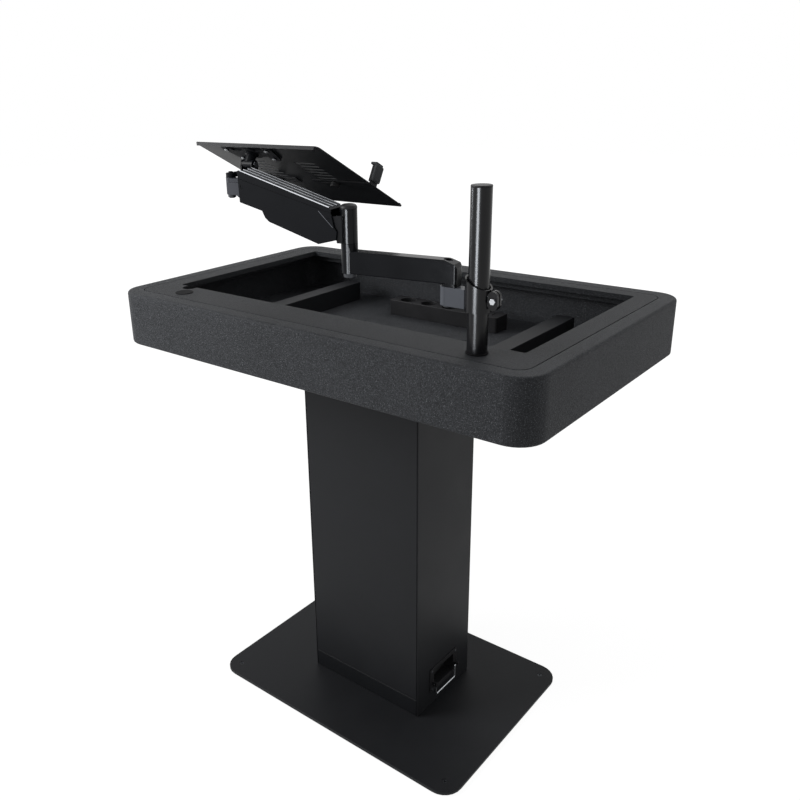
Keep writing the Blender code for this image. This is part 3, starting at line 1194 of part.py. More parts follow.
def make_mounting_plate(finish, tilt):
    """Butterfly plate under the tray, with four button-head screws."""
    roll = frame("plate_roll", (0.0, 0.0, PLATE_STANDOFF), tilt)
    plate = piece(
        "mounting_plate",
        prism(circle(PLATE_HUB_RADIUS, steps=32), 0.0, PLATE_THICKNESS), finish["gloss"], roll,
    )
    reach = PLATE_SCREWS[1][0]
    join(plate, box(-reach, reach, -0.011, 0.013, 0.00005, PLATE_THICKNESS - 0.00005), "bridge")
    lobes = bmesh.new()
    screws = bmesh.new()
    for side in (-1, 1):
        prism(lobe_outline(side), 0.0001, PLATE_THICKNESS - 0.0001, lobes)
        for x, y in PLATE_SCREWS:
            cylinder(PLATE_SCREW_RADIUS, -0.002, 0.001, (side * x, y), 14, screws)
    join(plate, lobes, "lobes")
    join(plate, screws, "screws")
    cut(plate, cylinder(TILT_SPIGOT_RADIUS + PIN_GAP, -0.01, 0.02, (0.0, 0.0), 20), "spigot_hole")
    return roll


def tray_low():
    """Underside of the tray, in the frame of the mounting plate."""
    return PLATE_THICKNESS + GAP


def make_tray(finish, roll):
    """Sheet-metal tray: a lip turned down at the back, a stop lip turned up at the front, cooling slots."""
    low = tray_low()
    high = low + TRAY_SHEET
    centre = (TRAY_WIDTH / 2 - TRAY_LEFT, TRAY_DEPTH / 2 - TRAY_REAR)
    outline = rounded_rectangle(TRAY_WIDTH, TRAY_DEPTH, TRAY_CORNER, centre, 4)
    tray = piece("tray", prism(outline, low, high), finish["powder"], roll)
    x0 = -TRAY_LEFT + TRAY_CORNER
    x1 = TRAY_WIDTH - TRAY_LEFT - TRAY_CORNER
    back = -TRAY_REAR
    front = TRAY_DEPTH - TRAY_REAR
    join(tray, box(x0, x1, back, back + TRAY_SHEET, high - TRAY_LIP, high - 0.0002), "back_lip")
    join(tray, box(x0, x1, front - TRAY_SHEET, front, low + 0.0002, low + TRAY_LIP), "front_lip")
    slots = bmesh.new()
    for side in (-1, 1):
        for number in range(SLOT_COUNT):
            y = centre[1] + (number - (SLOT_COUNT - 1) / 2) * SLOT_PITCH - 0.020
            x = centre[0] + side * TRAY_WIDTH / 5
            reach = (SLOT_LENGTH - SLOT_WIDTH) / 2
            prism(stadium(x - reach, x + reach, SLOT_WIDTH / 2, y, 4), low - OVERCUT, high + OVERCUT, slots)
    cut(tray, slots, "cooling_slots")
    holes = bmesh.new()
    for side in (-1, 1):
        cylinder(
            GRIP_SCREW_RADIUS + PIN_GAP, low - OVERCUT,
            high + OVERCUT, (grip_screw_x(side), GRIP_Y), 14, holes,
        )
    cut(tray, holes, "grip_screw_holes")


def tray_edge(side):
    return TRAY_WIDTH - TRAY_LEFT if side > 0 else -TRAY_LEFT


def grip_screw_x(side):
    """The screw lies at the outer end of the bar's slot when the grip is pushed in."""
    slot_inner = GRIP_BAR_LENGTH - GRIP_SLOT_END
    return tray_edge(side) - side * (slot_inner - GRIP_SLOT_LENGTH + GRIP_SCREW_RADIUS + 0.001)


def make_grip(finish, roll, side, name):
    """Sliding bar with an upright end and a rubber pad that grips the side of what stands on the tray."""
    edge = tray_edge(side)
    slide = frame(f"grip_slide_{name}", (edge, GRIP_Y, 0.0), roll)
    high = tray_low() - GAP
    low = high - GRIP_SHEET
    top = tray_low() + TRAY_SHEET + GRIP_HEIGHT
    half = GRIP_WIDTH / 2
    upright_near = GRIP_PAD + 2 * GAP
    upright_far = upright_near + GRIP_SHEET
    inner = -side * GRIP_BAR_LENGTH
    ends = sorted((inner, side * upright_far))
    grip = piece(f"grip_bar_{name}", box(ends[0], ends[1], -half, half, low, high), finish["powder"], slide)
    ends = sorted((side * upright_near, side * upright_far))
    join(grip, box(ends[0], ends[1], -half, half, low + 0.0001, top), "upright")
    slot = sorted((inner + side * GRIP_SLOT_END, inner + side * (GRIP_SLOT_END + GRIP_SLOT_LENGTH)))
    slot_half = GRIP_SCREW_RADIUS + PIN_GAP
    cut(
        grip,
        prism(stadium(slot[0] + slot_half, slot[1] - slot_half, slot_half, 0.0, 4), low - OVERCUT, high + OVERCUT),
        "slot",
    )
    ends = sorted((side * GAP, side * (GAP + GRIP_PAD)))
    pad = box(ends[0], ends[1], -half + 0.001, half - 0.001, tray_low() + TRAY_SHEET + 0.001, top - 0.0005)
    piece(f"grip_pad_{name}", pad, finish["rubber"], slide)
    screw_x = grip_screw_x(side)
    knob = frame(f"grip_knob_turn_{name}", (screw_x, GRIP_Y, 0.0), roll)
    knob_top = low - GAP
    stud_top = tray_low() + TRAY_SHEET - GAP
    profile = [(0.0, knob_top - GRIP_KNOB_HEIGHT), (GRIP_KNOB_RADIUS - 0.001, knob_top - GRIP_KNOB_HEIGHT)]
    profile += [(GRIP_KNOB_RADIUS, knob_top - GRIP_KNOB_HEIGHT + 0.001), (GRIP_KNOB_RADIUS, knob_top)]
    profile += [(GRIP_SCREW_RADIUS, knob_top), (GRIP_SCREW_RADIUS, stud_top), (0.0, stud_top)]
    piece(f"grip_knob_{name}", turned(profile, 20), finish["plastic"], knob)


def main():
    clear_scene()
    finish = make_materials()
    make_base(finish)
    make_column(finish)
    make_inlet(finish)
    make_housing(finish)
    make_insert(finish)
    make_rails(finish)
    make_outlet_strip(finish)
    make_floor_grommet(finish)
    make_pole(finish)
    height = frame("clamp_height", (POLE_X, POLE_Y, CLAMP_BOTTOM))
    turn = make_clamp(finish, height)
    swing = make_extension(finish, turn)
    post = make_post(finish, swing)
    lift = make_arm(finish, post)
    make_parallel_bar(finish, post)
    level = make_bracket(finish, lift)
    head = make_head(finish, level)
    tilt = make_tilt_block(finish, head)
    roll = make_mounting_plate(finish, tilt)
    make_tray(finish, roll)
    make_grip(finish, roll, -1, "left")
    make_grip(finish, roll, 1, "right")


main()
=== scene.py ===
"""DJ podium stand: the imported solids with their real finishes, eased edges and small fittings."""

import json
from math import cos, pi, radians, sin

import bmesh
import bpy
from mathutils import Matrix, Vector

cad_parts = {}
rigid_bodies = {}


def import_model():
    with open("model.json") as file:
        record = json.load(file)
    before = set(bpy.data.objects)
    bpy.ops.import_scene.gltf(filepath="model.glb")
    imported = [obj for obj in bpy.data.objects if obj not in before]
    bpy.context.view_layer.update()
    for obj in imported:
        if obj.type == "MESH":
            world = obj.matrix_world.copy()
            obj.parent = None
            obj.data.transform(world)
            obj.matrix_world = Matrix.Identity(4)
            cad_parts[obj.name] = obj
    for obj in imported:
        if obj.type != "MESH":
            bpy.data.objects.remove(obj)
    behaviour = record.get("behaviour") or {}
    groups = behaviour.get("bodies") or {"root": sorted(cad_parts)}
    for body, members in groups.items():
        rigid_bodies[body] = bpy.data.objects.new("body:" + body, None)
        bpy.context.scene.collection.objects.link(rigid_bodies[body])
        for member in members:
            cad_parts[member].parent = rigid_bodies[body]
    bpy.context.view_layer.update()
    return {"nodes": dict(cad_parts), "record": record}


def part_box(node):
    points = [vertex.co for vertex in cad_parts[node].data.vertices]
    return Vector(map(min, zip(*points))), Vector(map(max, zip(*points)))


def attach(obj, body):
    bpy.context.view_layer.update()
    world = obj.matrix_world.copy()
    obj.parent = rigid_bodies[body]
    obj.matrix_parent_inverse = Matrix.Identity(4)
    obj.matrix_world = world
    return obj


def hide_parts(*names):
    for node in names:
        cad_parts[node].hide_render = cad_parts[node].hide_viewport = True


for left_over in list(bpy.data.objects):
    bpy.data.objects.remove(left_over, do_unlink=True)
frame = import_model()

# The camera stands on the audience side, to the right of the podium and level with the top of its pole,
# and looks down past the near corner of the tabletop. The picture is square.
CAMERA_PLACE = Vector((1.066, -1.400, 1.436))
CAMERA_YAW = radians(40.17)
CAMERA_PITCH = radians(20.87)
CAMERA_ROLL = radians(-1.559)
PICTURE_PIXELS = 800
FOCAL_PIXELS = 829.765
CENTRE_PIXELS = (350.11, 394.47)
SENSOR_MM = 36

ahead = Vector(
    (-sin(CAMERA_YAW) * cos(CAMERA_PITCH), cos(CAMERA_YAW) * cos(CAMERA_PITCH), -sin(CAMERA_PITCH))
)
level = ahead.cross(Vector((0, 0, 1))).normalized()
upright = level.cross(ahead)
right = level * cos(CAMERA_ROLL) + upright * sin(CAMERA_ROLL)
above = upright * cos(CAMERA_ROLL) - level * sin(CAMERA_ROLL)
camera = bpy.data.objects.new("camera", bpy.data.cameras.new("camera"))
camera.matrix_world = Matrix((right, above, -ahead)).transposed().to_4x4()
camera.location = CAMERA_PLACE
camera.data.sensor_width = SENSOR_MM
camera.data.lens = FOCAL_PIXELS / PICTURE_PIXELS * SENSOR_MM
camera.data.shift_x = 0.5 - CENTRE_PIXELS[0] / PICTURE_PIXELS
camera.data.shift_y = CENTRE_PIXELS[1] / PICTURE_PIXELS - 0.5
bpy.context.scene.collection.objects.link(camera)
bpy.context.scene.camera = camera
bpy.context.scene.view_settings.view_transform = "Standard"


# Studio sweep: a white room that the lens and reflections see, a grey fill that the surfaces are lit by,
# and a pale floor that keeps the podium's shadow.
class Signal:
    """The output of a shader node. Sums and products of signals add Math nodes."""

    def __init__(self, tree, socket=None):
        self.tree = tree
        self.socket = socket

    def node(self, kind, settings=None, sockets=None, output=0):
        """Adds a shader node: its settings first, then a value or a signal for each socket."""
        made = self.tree.nodes.new(kind)
        for name, value in (settings or {}).items():
            setattr(made, name, value)
        for name, value in (sockets or {}).items():
            feed(made, name, value)
        return Signal(self.tree, made.outputs[output])

    def maths(self, operation, first, second):
        """Adds a Math node on two values or signals."""
        return self.node("ShaderNodeMath", {"operation": operation}, {0: first, 1: second})

    def __add__(self, other):
        return self.maths("ADD", self, other)

    def __sub__(self, other):
        return self.maths("SUBTRACT", self, other)

    def __rsub__(self, other):
        return self.maths("SUBTRACT", other, self)

    def __mul__(self, other):
        return self.maths("MULTIPLY", self, other)

    __radd__ = __add__
    __rmul__ = __mul__


def feed(target, name, value):
    """Links a signal to a node's socket, or gives the socket a plain value."""
    if isinstance(value, Signal):
        value.tree.links.new(value.socket, target.inputs[name])
    else:
        target.inputs[name].default_value = value


def seen_directly(start):
    """1 for rays from the lens, from a reflection or through glass, and 0 for the light on a surface."""
    kinds = ("Camera", "Glossy", "Transmission")
    rays = [start.node("ShaderNodeLightPath", output=f"Is {kind} Ray") for kind in kinds]
    return start.maths("MAXIMUM", rays[0], start.maths("MAXIMUM", rays[1], rays[2]))


WHITE = (1.0, 1.0, 1.0, 1.0)
FILL_STRENGTH = 0.27
room = bpy.data.worlds.new("white studio")
room.use_nodes = True
bpy.context.scene.world = room
start = Signal(room.node_tree)
fill = start.node("ShaderNodeBackground", None, {"Color": WHITE, "Strength": FILL_STRENGTH})
backdrop = start.node("ShaderNodeBackground", None, {"Color": WHITE, "Strength": 1.0})
both = start.node("ShaderNodeMixShader", None, {0: seen_directly(start), 1: fill, 2: backdrop})
feed(room.node_tree.nodes["World Output"], "Surface", both)

FLOOR_HALF = 14.0
FLOOR_PAPER = (0.9, 0.9, 0.9, 1.0)
FLOOR_GLOW = 1.10
GLOW_NEAR = 0.85  # share of plain white at the podium; the rest takes its shadow
GLOW_GAIN = 0.04  # more for each metre away from it
paper = bpy.data.materials.new("pale floor")
paper.use_nodes = True
start = Signal(paper.node_tree)
matt = start.node("ShaderNodeBsdfDiffuse", None, {"Color": FLOOR_PAPER})
glow = start.node("ShaderNodeEmission", None, {"Color": WHITE, "Strength": FLOOR_GLOW})
place = start.node("ShaderNodeTexCoord", output="Object")
away = start.node("ShaderNodeVectorMath", {"operation": "LENGTH"}, {0: place}, "Value")
share = start.maths("MINIMUM", away * GLOW_GAIN + GLOW_NEAR, 1.0)
sweep = start.node("ShaderNodeMixShader", None, {0: share * seen_directly(start), 1: matt, 2: glow})
feed(paper.node_tree.nodes["Material Output"], "Surface", sweep)
ground = bmesh.new()
bmesh.ops.create_grid(ground, x_segments=1, y_segments=1, size=FLOOR_HALF)
floor = bpy.data.objects.new("floor", bpy.data.meshes.new("floor"))
ground.to_mesh(floor.data)
ground.free()
floor.data.materials.append(paper)
bpy.context.scene.collection.objects.link(floor)

# Softboxes: a broad key on the left of the lens, a weak one on the right and one overhead from behind. Two
# bright cards, in front and on the left, light the glossy tubes alone and draw the streaks down them.
SOFTBOXES = (  # name, place, point it faces, width and height in metres, power in watts
    ("key_softbox", (-1.6, -1.7, 1.9), (0.0, -0.2, 0.85), (1.2, 1.2), 51.0),
    ("side_softbox", (3.4, -0.2, 1.7), (0.3, 0.0, 0.9), (1.2, 1.4), 1.5),
    ("overhead_softbox", (0.3, 1.6, 3.2), (0.0, 0.0, 1.0), (2.4, 1.6), 11.0),
    ("front_card", (0.42, -3.6, 0.92), (0.35, -0.2, 1.00), (1.3, 1.5), 255.0),
    ("left_card", (-2.95, -1.05, 1.30), (0.35, -0.2, 1.20), (0.7, 0.9), 60.0),
)
CARD_COLOUR = (0.90, 0.94, 1.0)
GLOSSY_TUBES = bpy.data.collections.new("glossy tubes")
for name, place, target, size, power in SOFTBOXES:
    lamp = bpy.data.objects.new(name, bpy.data.lights.new(name, "AREA"))
    lamp.data.shape = "RECTANGLE"
    lamp.data.size, lamp.data.size_y = size
    lamp.data.energy = power
    lamp.location = place
    lamp.rotation_euler = (Vector(target) - Vector(place)).to_track_quat("-Z", "Y").to_euler()
    if name.endswith("card"):
        lamp.visible_diffuse = False
        lamp.data.color = CARD_COLOUR
        lamp.light_linking.receiver_collection = GLOSSY_TUBES
    bpy.context.scene.collection.objects.link(lamp)

# Base plate: laser-cut steel with round corners, powder-coated matte black. It stands on four threaded
# studs of blackened steel that a hexagon key turns from above.
SMOOTH_ANGLE = radians(32)  # a sharper edge is a real edge and not a facet of a curve
FLAT_ANGLE = radians(0.4)  # between the triangles of one flat face
MERGE_DISTANCE = 1e-6
EASED_SEGMENTS = 2
BODY_OF = {name: body for body, names in frame["record"]["behaviour"]["bodies"].items() for name in names}


def blank_material(name, constants):
    """A new material's shader with its constants set, and the coordinates of the object that wears it."""
    material = bpy.data.materials.new(name)
    material.use_nodes = True
    shader = material.node_tree.nodes["Principled BSDF"]
    for socket, value in constants.items():
        shader.inputs[socket].default_value = value
    return material, shader, Signal(material.node_tree).node("ShaderNodeTexCoord", output="Object")


def noise(where, scale, detail, roughness=0.5):
    """A cloudy pattern from 0 to 1, with about scale cells to the metre."""
    sockets = {"Vector": where, "Scale": scale, "Detail": detail, "Roughness": roughness}
    return where.node("ShaderNodeTexNoise", None, sockets)


def between(pattern, dark, light):
    """The colour between two, as far along as the pattern says. Sockets 6, 7 and 2 carry the colours."""
    settings = {"data_type": "RGBA", "clamp_factor": True}
    ends = [colour if isinstance(colour, Signal) else (*colour, 1.0) for colour in (dark, light)]
    return pattern.node("ShaderNodeMix", settings, {0: pattern, 6: ends[0], 7: ends[1]}, 2)


def bump(height, depth):
    """The normal of a surface that a pattern raises by depth metres at most."""
    return height.node("ShaderNodeBump", None, {"Height": height, "Distance": depth, "Strength": 1.0})


def powder_coat(name, dark, light, rough, spread=0.12):
    """Baked powder: a fine orange peel, a faint cloudiness and a few duller rubbed places."""
    material, shader, where = blank_material(name, {"Specular IOR Level": 0.12})
    peel = noise(where, scale=900, detail=3.0)
    cloud = noise(where, scale=11, detail=3.0)
    feed(shader, "Base Color", between(cloud * 0.5 + peel * 0.5, dark, light))
    feed(shader, "Roughness", rough - spread / 2 + cloud * spread)
    feed(shader, "Normal", bump(peel, depth=0.00009))
    return material


def plated_steel(name, dark, light, rough, spread=0.12):
    """Plated steel: bright, finely rolled, with a cloudy passivated tint."""
    material, shader, where = blank_material(name, {"Metallic": 1.0})
    tint = noise(where, scale=160, detail=3.0)
    grain = noise(where, scale=2600, detail=2.0)
    feed(shader, "Base Color", between(tint, dark, light))
    feed(shader, "Roughness", rough + tint * spread)
    feed(shader, "Normal", bump(grain, depth=0.00002))
    return material


def add_piece(name, shape, material, body):
    """An object from a finished shape. It rides on a body and shades its curves smooth."""
    for face in shape.faces:
        face.smooth = True
    for edge in shape.edges:
        edge.smooth = edge.calc_face_angle(pi) < SMOOTH_ANGLE
    mesh = bpy.data.meshes.new(name)
    shape.to_mesh(mesh)
    shape.free()
    mesh.materials.append(material)
    made = bpy.data.objects.new(name, mesh)
    bpy.context.scene.collection.objects.link(made)
    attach(made, body)
    return made


def ease_edges(piece, width):
    """Rounds the sharp edges over and keeps the flat faces flat."""
    bevel = piece.modifiers.new("eased edges", "BEVEL")
    bevel.width = width
    bevel.segments = EASED_SEGMENTS
    bevel.limit_method = "ANGLE"
    bevel.angle_limit = SMOOTH_ANGLE
    bevel.harden_normals = True
    flat = piece.modifiers.new("flat faces", "WEIGHTED_NORMAL")
    flat.keep_sharp = True


def dress(name, material, edge):
    """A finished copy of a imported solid: whole faces, smooth curves, and edges eased by so much."""
    shape = bmesh.new()
    shape.from_mesh(frame["nodes"][name].data)
    bmesh.ops.remove_doubles(shape, verts=shape.verts, dist=MERGE_DISTANCE)
    bmesh.ops.dissolve_limit(shape, angle_limit=FLAT_ANGLE, verts=shape.verts, edges=shape.edges)
    piece = add_piece(f"{name}_finished", shape, material, BODY_OF[name])
    piece.data.attributes.remove(piece.data.attributes["custom_normal"])  # the solid's faceted shading
    if edge:
        ease_edges(piece, edge)
    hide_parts(name)
    return piece


black_powder = powder_coat(
    "matte black powder coat", dark=(0.011, 0.0115, 0.0130), light=(0.021, 0.022, 0.0245), rough=0.50
)
dark_zinc = plated_steel(
    "black zinc plate", dark=(0.030, 0.032, 0.036), light=(0.075, 0.078, 0.085), rough=0.34
)
dress("base_plate", black_powder, edge=0.0003)
for number in range(1, 5):
    dress(f"levelling_foot_{number}", dark_zinc, edge=0.0003)

# Column: a shell of folded steel sheet, closed on the audience side by a flat panel and a low strip under
# it, all powder-coated. Angle frames inside its ends take the bolts to the base plate and the tabletop.
# The low strip's coat is darker than the panel's above it.
plinth_powder = powder_coat(
    "darker black powder coat", dark=(0.007, 0.0075, 0.0088), light=(0.014, 0.015, 0.017), rough=0.44
)
for name in ("column_shell", "column_front_panel"):
    dress(name, black_powder, edge=0.0005)
dress("plinth_strip", plinth_powder, edge=0.0012)
for name in ("column_foot_frame", "column_head_frame"):
    frame["nodes"][name].material_slots[0].material = black_powder

# Mains inlet: a moulded plastic dish that four screws hold to the side wall, the socket with its three
# plated contacts at the back of it, and a sprung wire bail that swings up over the plug.
SCREW_HEAD = 0.0034  # radius
SCREW_HEIGHT = 0.0018
SCREW_SINK = 0.0002  # of the head's rim, into the face under it
SCREW_CELLS = 9  # across the square grid that becomes a round head
DOME_DROP = 0.65  # of the rim below the head's top, as a share of its height
CROSS_REACH = 0.62  # of the recess, as a share of the head's radius
CROSS_HALF_WIDTH = 1.05 / SCREW_CELLS
CROSS_FLOOR = 0.35  # level of the recess's floor, as a share of the head's height
INLET_FACE = 0.0023  # of the dish's flange, off the column's wall
INLET_SCREW_INSET = 0.008
CONTACT_PLACES = ((-0.007, -0.002), (0.007, -0.002), (0.0, 0.002))  # along Y and Z from the socket's middle
CONTACT_SIZE = (0.0121, 0.0022, 0.0042)
CONTACT_REACH = 0.0039  # from the socket's face back to the contacts' ends


def moulded_plastic(name, dark, light, rough, spread=0.16, shine=0.22):
    """Spark-eroded mould texture with slightly polished high spots."""
    material, shader, where = blank_material(name, {"Specular IOR Level": shine})
    grain = noise(where, scale=1900, detail=3.0)
    handling = noise(where, scale=30, detail=2.0)
    feed(shader, "Base Color", between(handling * 0.6 + grain * 0.4, dark, light))
    feed(shader, "Roughness", rough - spread / 2 + handling * spread)
    feed(shader, "Normal", bump(grain, depth=0.00005))
    return material


def cross_head(shape, place, axis, radius=SCREW_HEAD, height=SCREW_HEIGHT):
    """Adds a domed screw head with a cross recess, its top turned along an axis."""
    grid = bmesh.ops.create_grid(shape, x_segments=SCREW_CELLS, y_segments=SCREW_CELLS, size=1.0)["verts"]
    recess = []
    for face in dict.fromkeys(face for vert in grid for face in vert.link_faces):
        middle = face.calc_center_median()
        if min(abs(middle.x), abs(middle.y)) < CROSS_HALF_WIDTH and middle.length < CROSS_REACH:
            recess.append(face)
    sides = dict.fromkeys(side for vert in grid for side in vert.link_edges)
    outline = [side for side in sides if side.is_boundary]
    skirt = bmesh.ops.extrude_edge_only(shape, edges=outline)["geom"]
    rim = [item for item in skirt if isinstance(item, bmesh.types.BMVert)]
    sunk = bmesh.ops.extrude_face_region(shape, geom=recess)["geom"]
    bottom = [item for item in sunk if isinstance(item, bmesh.types.BMVert)]
    bmesh.ops.delete(shape, geom=recess, context="FACES_ONLY")
    everything = list(dict.fromkeys((*grid, *rim, *bottom)))
    for vert in everything:  # the square grid becomes a disc, and the disc a dome
        x, y = vert.co.x, vert.co.y
        vert.co.x = radius * x * (1 - y * y / 2) ** 0.5
        vert.co.y = radius * y * (1 - x * x / 2) ** 0.5
        share = (vert.co.x**2 + vert.co.y**2) / radius**2
        vert.co.z = height * (1 - DOME_DROP * share)
    for vert in bottom:
        vert.co.z = height * CROSS_FLOOR
    for vert in rim:
        vert.co.z = -SCREW_SINK
    turn = Vector(axis).to_track_quat("Z", "Y").to_matrix().to_4x4()
    bmesh.ops.transform(shape, matrix=Matrix.Translation(place) @ turn, verts=everything)


def add_block(shape, place, middle, size):
    """Adds a block whose middle and size are given in the frame of a place."""
    spread = Matrix.Translation(middle) @ Matrix.Diagonal((*size, 1.0))
    return bmesh.ops.create_cube(shape, size=1.0, matrix=place @ spread)["verts"]


black_plastic = moulded_plastic(
    "black moulded plastic", dark=(0.010, 0.010, 0.011), light=(0.020, 0.020, 0.022), rough=0.42
)
bright_zinc = plated_steel(
    "bright zinc plate", dark=(0.42, 0.44, 0.47), light=(0.66, 0.68, 0.70), rough=0.26
)
dress("inlet_plate", black_plastic, edge=0.0005)
dress("inlet_socket", black_plastic, edge=0.0003)
dress("inlet_bail", bright_zinc, edge=0.0)
wall_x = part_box("column_shell")[1].x
inlet_low, inlet_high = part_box("inlet_plate")
inlet_screws = bmesh.new()
for y in (inlet_low.y + INLET_SCREW_INSET, inlet_high.y - INLET_SCREW_INSET):
    for z in (inlet_low.z + INLET_SCREW_INSET, inlet_high.z - INLET_SCREW_INSET):
        cross_head(inlet_screws, (wall_x + INLET_FACE, y, z), (1, 0, 0))
add_piece("inlet_screws", inlet_screws, dark_zinc, "stand")
socket_low, socket_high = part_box("inlet_socket")
contacts = bmesh.new()
for y, z in CONTACT_PLACES:
    x = socket_high.x - CONTACT_REACH - CONTACT_SIZE[0] / 2
    middle = Vector((x, (socket_low.y + socket_high.y) / 2 + y, (socket_low.z + socket_high.z) / 2 + z))
    add_block(contacts, Matrix.Identity(4), middle, CONTACT_SIZE)
blades = add_piece("inlet_contacts", contacts, bright_zinc, "stand")
ease_edges(blades, width=0.0003)

# Tabletop box: bonded board under a hard sprayed coating that dries to a pebbled charcoal skin. The
# insert panel lies flush in it, with a thin gap all round and a large opening over the well.
PEBBLE_SCALE = 420
PEBBLE_RELIEF = 0.0018
SKIN_START, SKIN_GAIN = 0.34, 2.6  # where the relief leaves the dark colour, and how fast
DRIFT_GAIN = 0.5
FLECK_START, FLECK_GAIN = 0.65, 6.0


def sprayed_coating(name, dark, light, fleck, rough=0.50, spread=0.22):
    """Pebbled coating: packed droplets a few millimetres across, finer grit on them, and pale flecks."""
    material, shader, where = blank_material(name, {"Specular IOR Level": 0.15})
    pebbles = noise(where, scale=PEBBLE_SCALE, detail=1.0)
    grit = noise(where, scale=3 * PEBBLE_SCALE, detail=2.0, roughness=0.7)
    drift = noise(where, scale=7, detail=2.0)
    relief = pebbles * 0.7 + grit * 0.3
    skin = between((relief - SKIN_START) * SKIN_GAIN + (drift - 0.5) * DRIFT_GAIN, dark, light)
    flecks = (noise(where, scale=2.1 * PEBBLE_SCALE, detail=0.0) - FLECK_START) * FLECK_GAIN
    feed(shader, "Base Color", between(flecks, skin, fleck))
    feed(shader, "Roughness", rough + grit * spread)
    feed(shader, "Normal", bump(relief, depth=PEBBLE_RELIEF))
    return material


charcoal_coating = sprayed_coating(
    "sprayed charcoal coating",
    dark=(0.0150, 0.0162, 0.0182), light=(0.043, 0.0455, 0.0505), fleck=(0.17, 0.178, 0.195),
)
insert_coating = sprayed_coating(
    "sprayed insert coating",
    dark=(0.011, 0.012, 0.0135), light=(0.030, 0.032, 0.036), fleck=(0.12, 0.125, 0.137),
)
matt_plastic = moulded_plastic(
    "matt black plastic", dark=(0.004, 0.004, 0.0045), light=(0.009, 0.009, 0.010), rough=0.70, shine=0.06
)
dress("housing_shell", charcoal_coating, edge=0.0008)
dress("insert_panel", insert_coating, edge=0.0010)
dress("spare_hole_plug", matt_plastic, edge=0.0002)

# Inside the well: two folded steel rails across its floor, a moulded outlet strip with brass sleeves and
# a rocker switch, and a rubber edging that is pressed into the cable hole.
OUTLETS = 3
OUTLET_PITCH = 0.060
OUTLET_FIRST = 0.040  # from the strip's left end
OUTLET_DEPTH = 0.012
SLEEVE_RADIUS = 0.0031
SLEEVE_SPREAD = 0.0095  # of a pair of pin sleeves, each side of the outlet's middle
SLEEVE_RISE = 0.0008
SLEEVE_WALL = 0.0008
SLEEVE_TAPER = 0.0001
SLEEVE_BORE = 0.0007
SLEEVE_SIDES = 16
FACING_UP = 0.9  # least height of an upward normal


def rubber(name, dark, light, rough=0.72, spread=0.2):
    """Moulded rubber: dead matt, with a dusty bloom."""
    material, shader, where = blank_material(name, {"Specular IOR Level": 0.25})
    bloom = noise(where, scale=240, detail=3.0)
    feed(shader, "Base Color", between(bloom, dark, light))
    feed(shader, "Roughness", rough + bloom * spread)
    feed(shader, "Normal", bump(bloom, depth=0.00008))
    return material


black_rubber = rubber("black rubber", dark=(0.008, 0.008, 0.008), light=(0.020, 0.020, 0.021))
brass = plated_steel("dull brass", dark=(0.42, 0.30, 0.12), light=(0.62, 0.46, 0.20), rough=0.32)
for name in ("support_rail_left", "support_rail_right"):
    dress(name, black_powder, edge=0.0006)
dress("outlet_strip", black_plastic, edge=0.0010)
dress("rocker_switch", black_plastic, edge=0.0006)
dress("floor_grommet", black_rubber, edge=0.0006)
strip_low, strip_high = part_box("outlet_strip")
sleeves = bmesh.new()
for number in range(OUTLETS):
    for side in (-1, 1):
        x = strip_low.x + OUTLET_FIRST + number * OUTLET_PITCH + side * SLEEVE_SPREAD
        y = (strip_low.y + strip_high.y) / 2
        z = strip_high.z - OUTLET_DEPTH + SLEEVE_RISE / 2
        disc = bmesh.ops.create_cone(
            sleeves, cap_ends=True, segments=SLEEVE_SIDES, radius1=SLEEVE_RADIUS, radius2=SLEEVE_RADIUS,
            depth=SLEEVE_RISE, matrix=Matrix.Translation((x, y, z)),
        )["verts"]
        faces = dict.fromkeys(face for vert in disc for face in vert.link_faces)
        top = [face for face in faces if face.normal.z > FACING_UP]
        bmesh.ops.inset_region(sleeves, faces=top, thickness=SLEEVE_WALL, depth=0.0)
        bmesh.ops.inset_region(sleeves, faces=top, thickness=SLEEVE_TAPER, depth=-SLEEVE_BORE)
add_piece("outlet_sleeves", sleeves, brass, "stand")


# Pole: drawn steel tube with gloss lacquer, held in a plated cup under the insert panel. A thin plastic
# ring trims its foot and a plug closes its top.
def lacquer(name, dark, light, rough, spread=0.08):
    """Stoved gloss lacquer: nearly flat, with a faint waviness and dulled patches."""
    material, shader, where = blank_material(name, {"Specular IOR Level": 0.20})
    wave = noise(where, scale=26, detail=2.0)
    dust = noise(where, scale=1400, detail=2.0)
    feed(shader, "Base Color", between(dust, dark, light))
    feed(shader, "Roughness", rough + wave * spread)
    feed(shader, "Normal", bump(wave, depth=0.00005))
    return material


gloss_black = lacquer(
    "gloss black lacquer", dark=(0.004, 0.004, 0.005), light=(0.008, 0.008, 0.0095), rough=0.19
)
GLOSSY_TUBES.objects.link(dress("pole", gloss_black, edge=0.0))
dress("pole_foot_ring", matt_plastic, edge=0.0002)
dress("pole_cap", black_plastic, edge=0.0003)
dress("pole_socket", bright_zinc, edge=0.0004)


# Clamp: a gloss black cast collar, split and pinched by one plated bolt, on a plastic sleeve that slides
# on the pole. The grey cast link block is screwed to its side and holds the first pivot.
def coated_casting(name, dark, light, rough, spread=0.1, shine=0.12):
    """Die-cast aluminium under a thin coat that follows the casting's skin."""
    material, shader, where = blank_material(name, {"Specular IOR Level": shine})
    skin = noise(where, scale=700, detail=3.0)
    cloud = noise(where, scale=20, detail=2.0)
    feed(shader, "Base Color", between(cloud * 0.6 + skin * 0.4, dark, light))
    feed(shader, "Roughness", rough - spread / 2 + cloud * spread)
    feed(shader, "Normal", bump(skin, depth=0.00006))
    return material


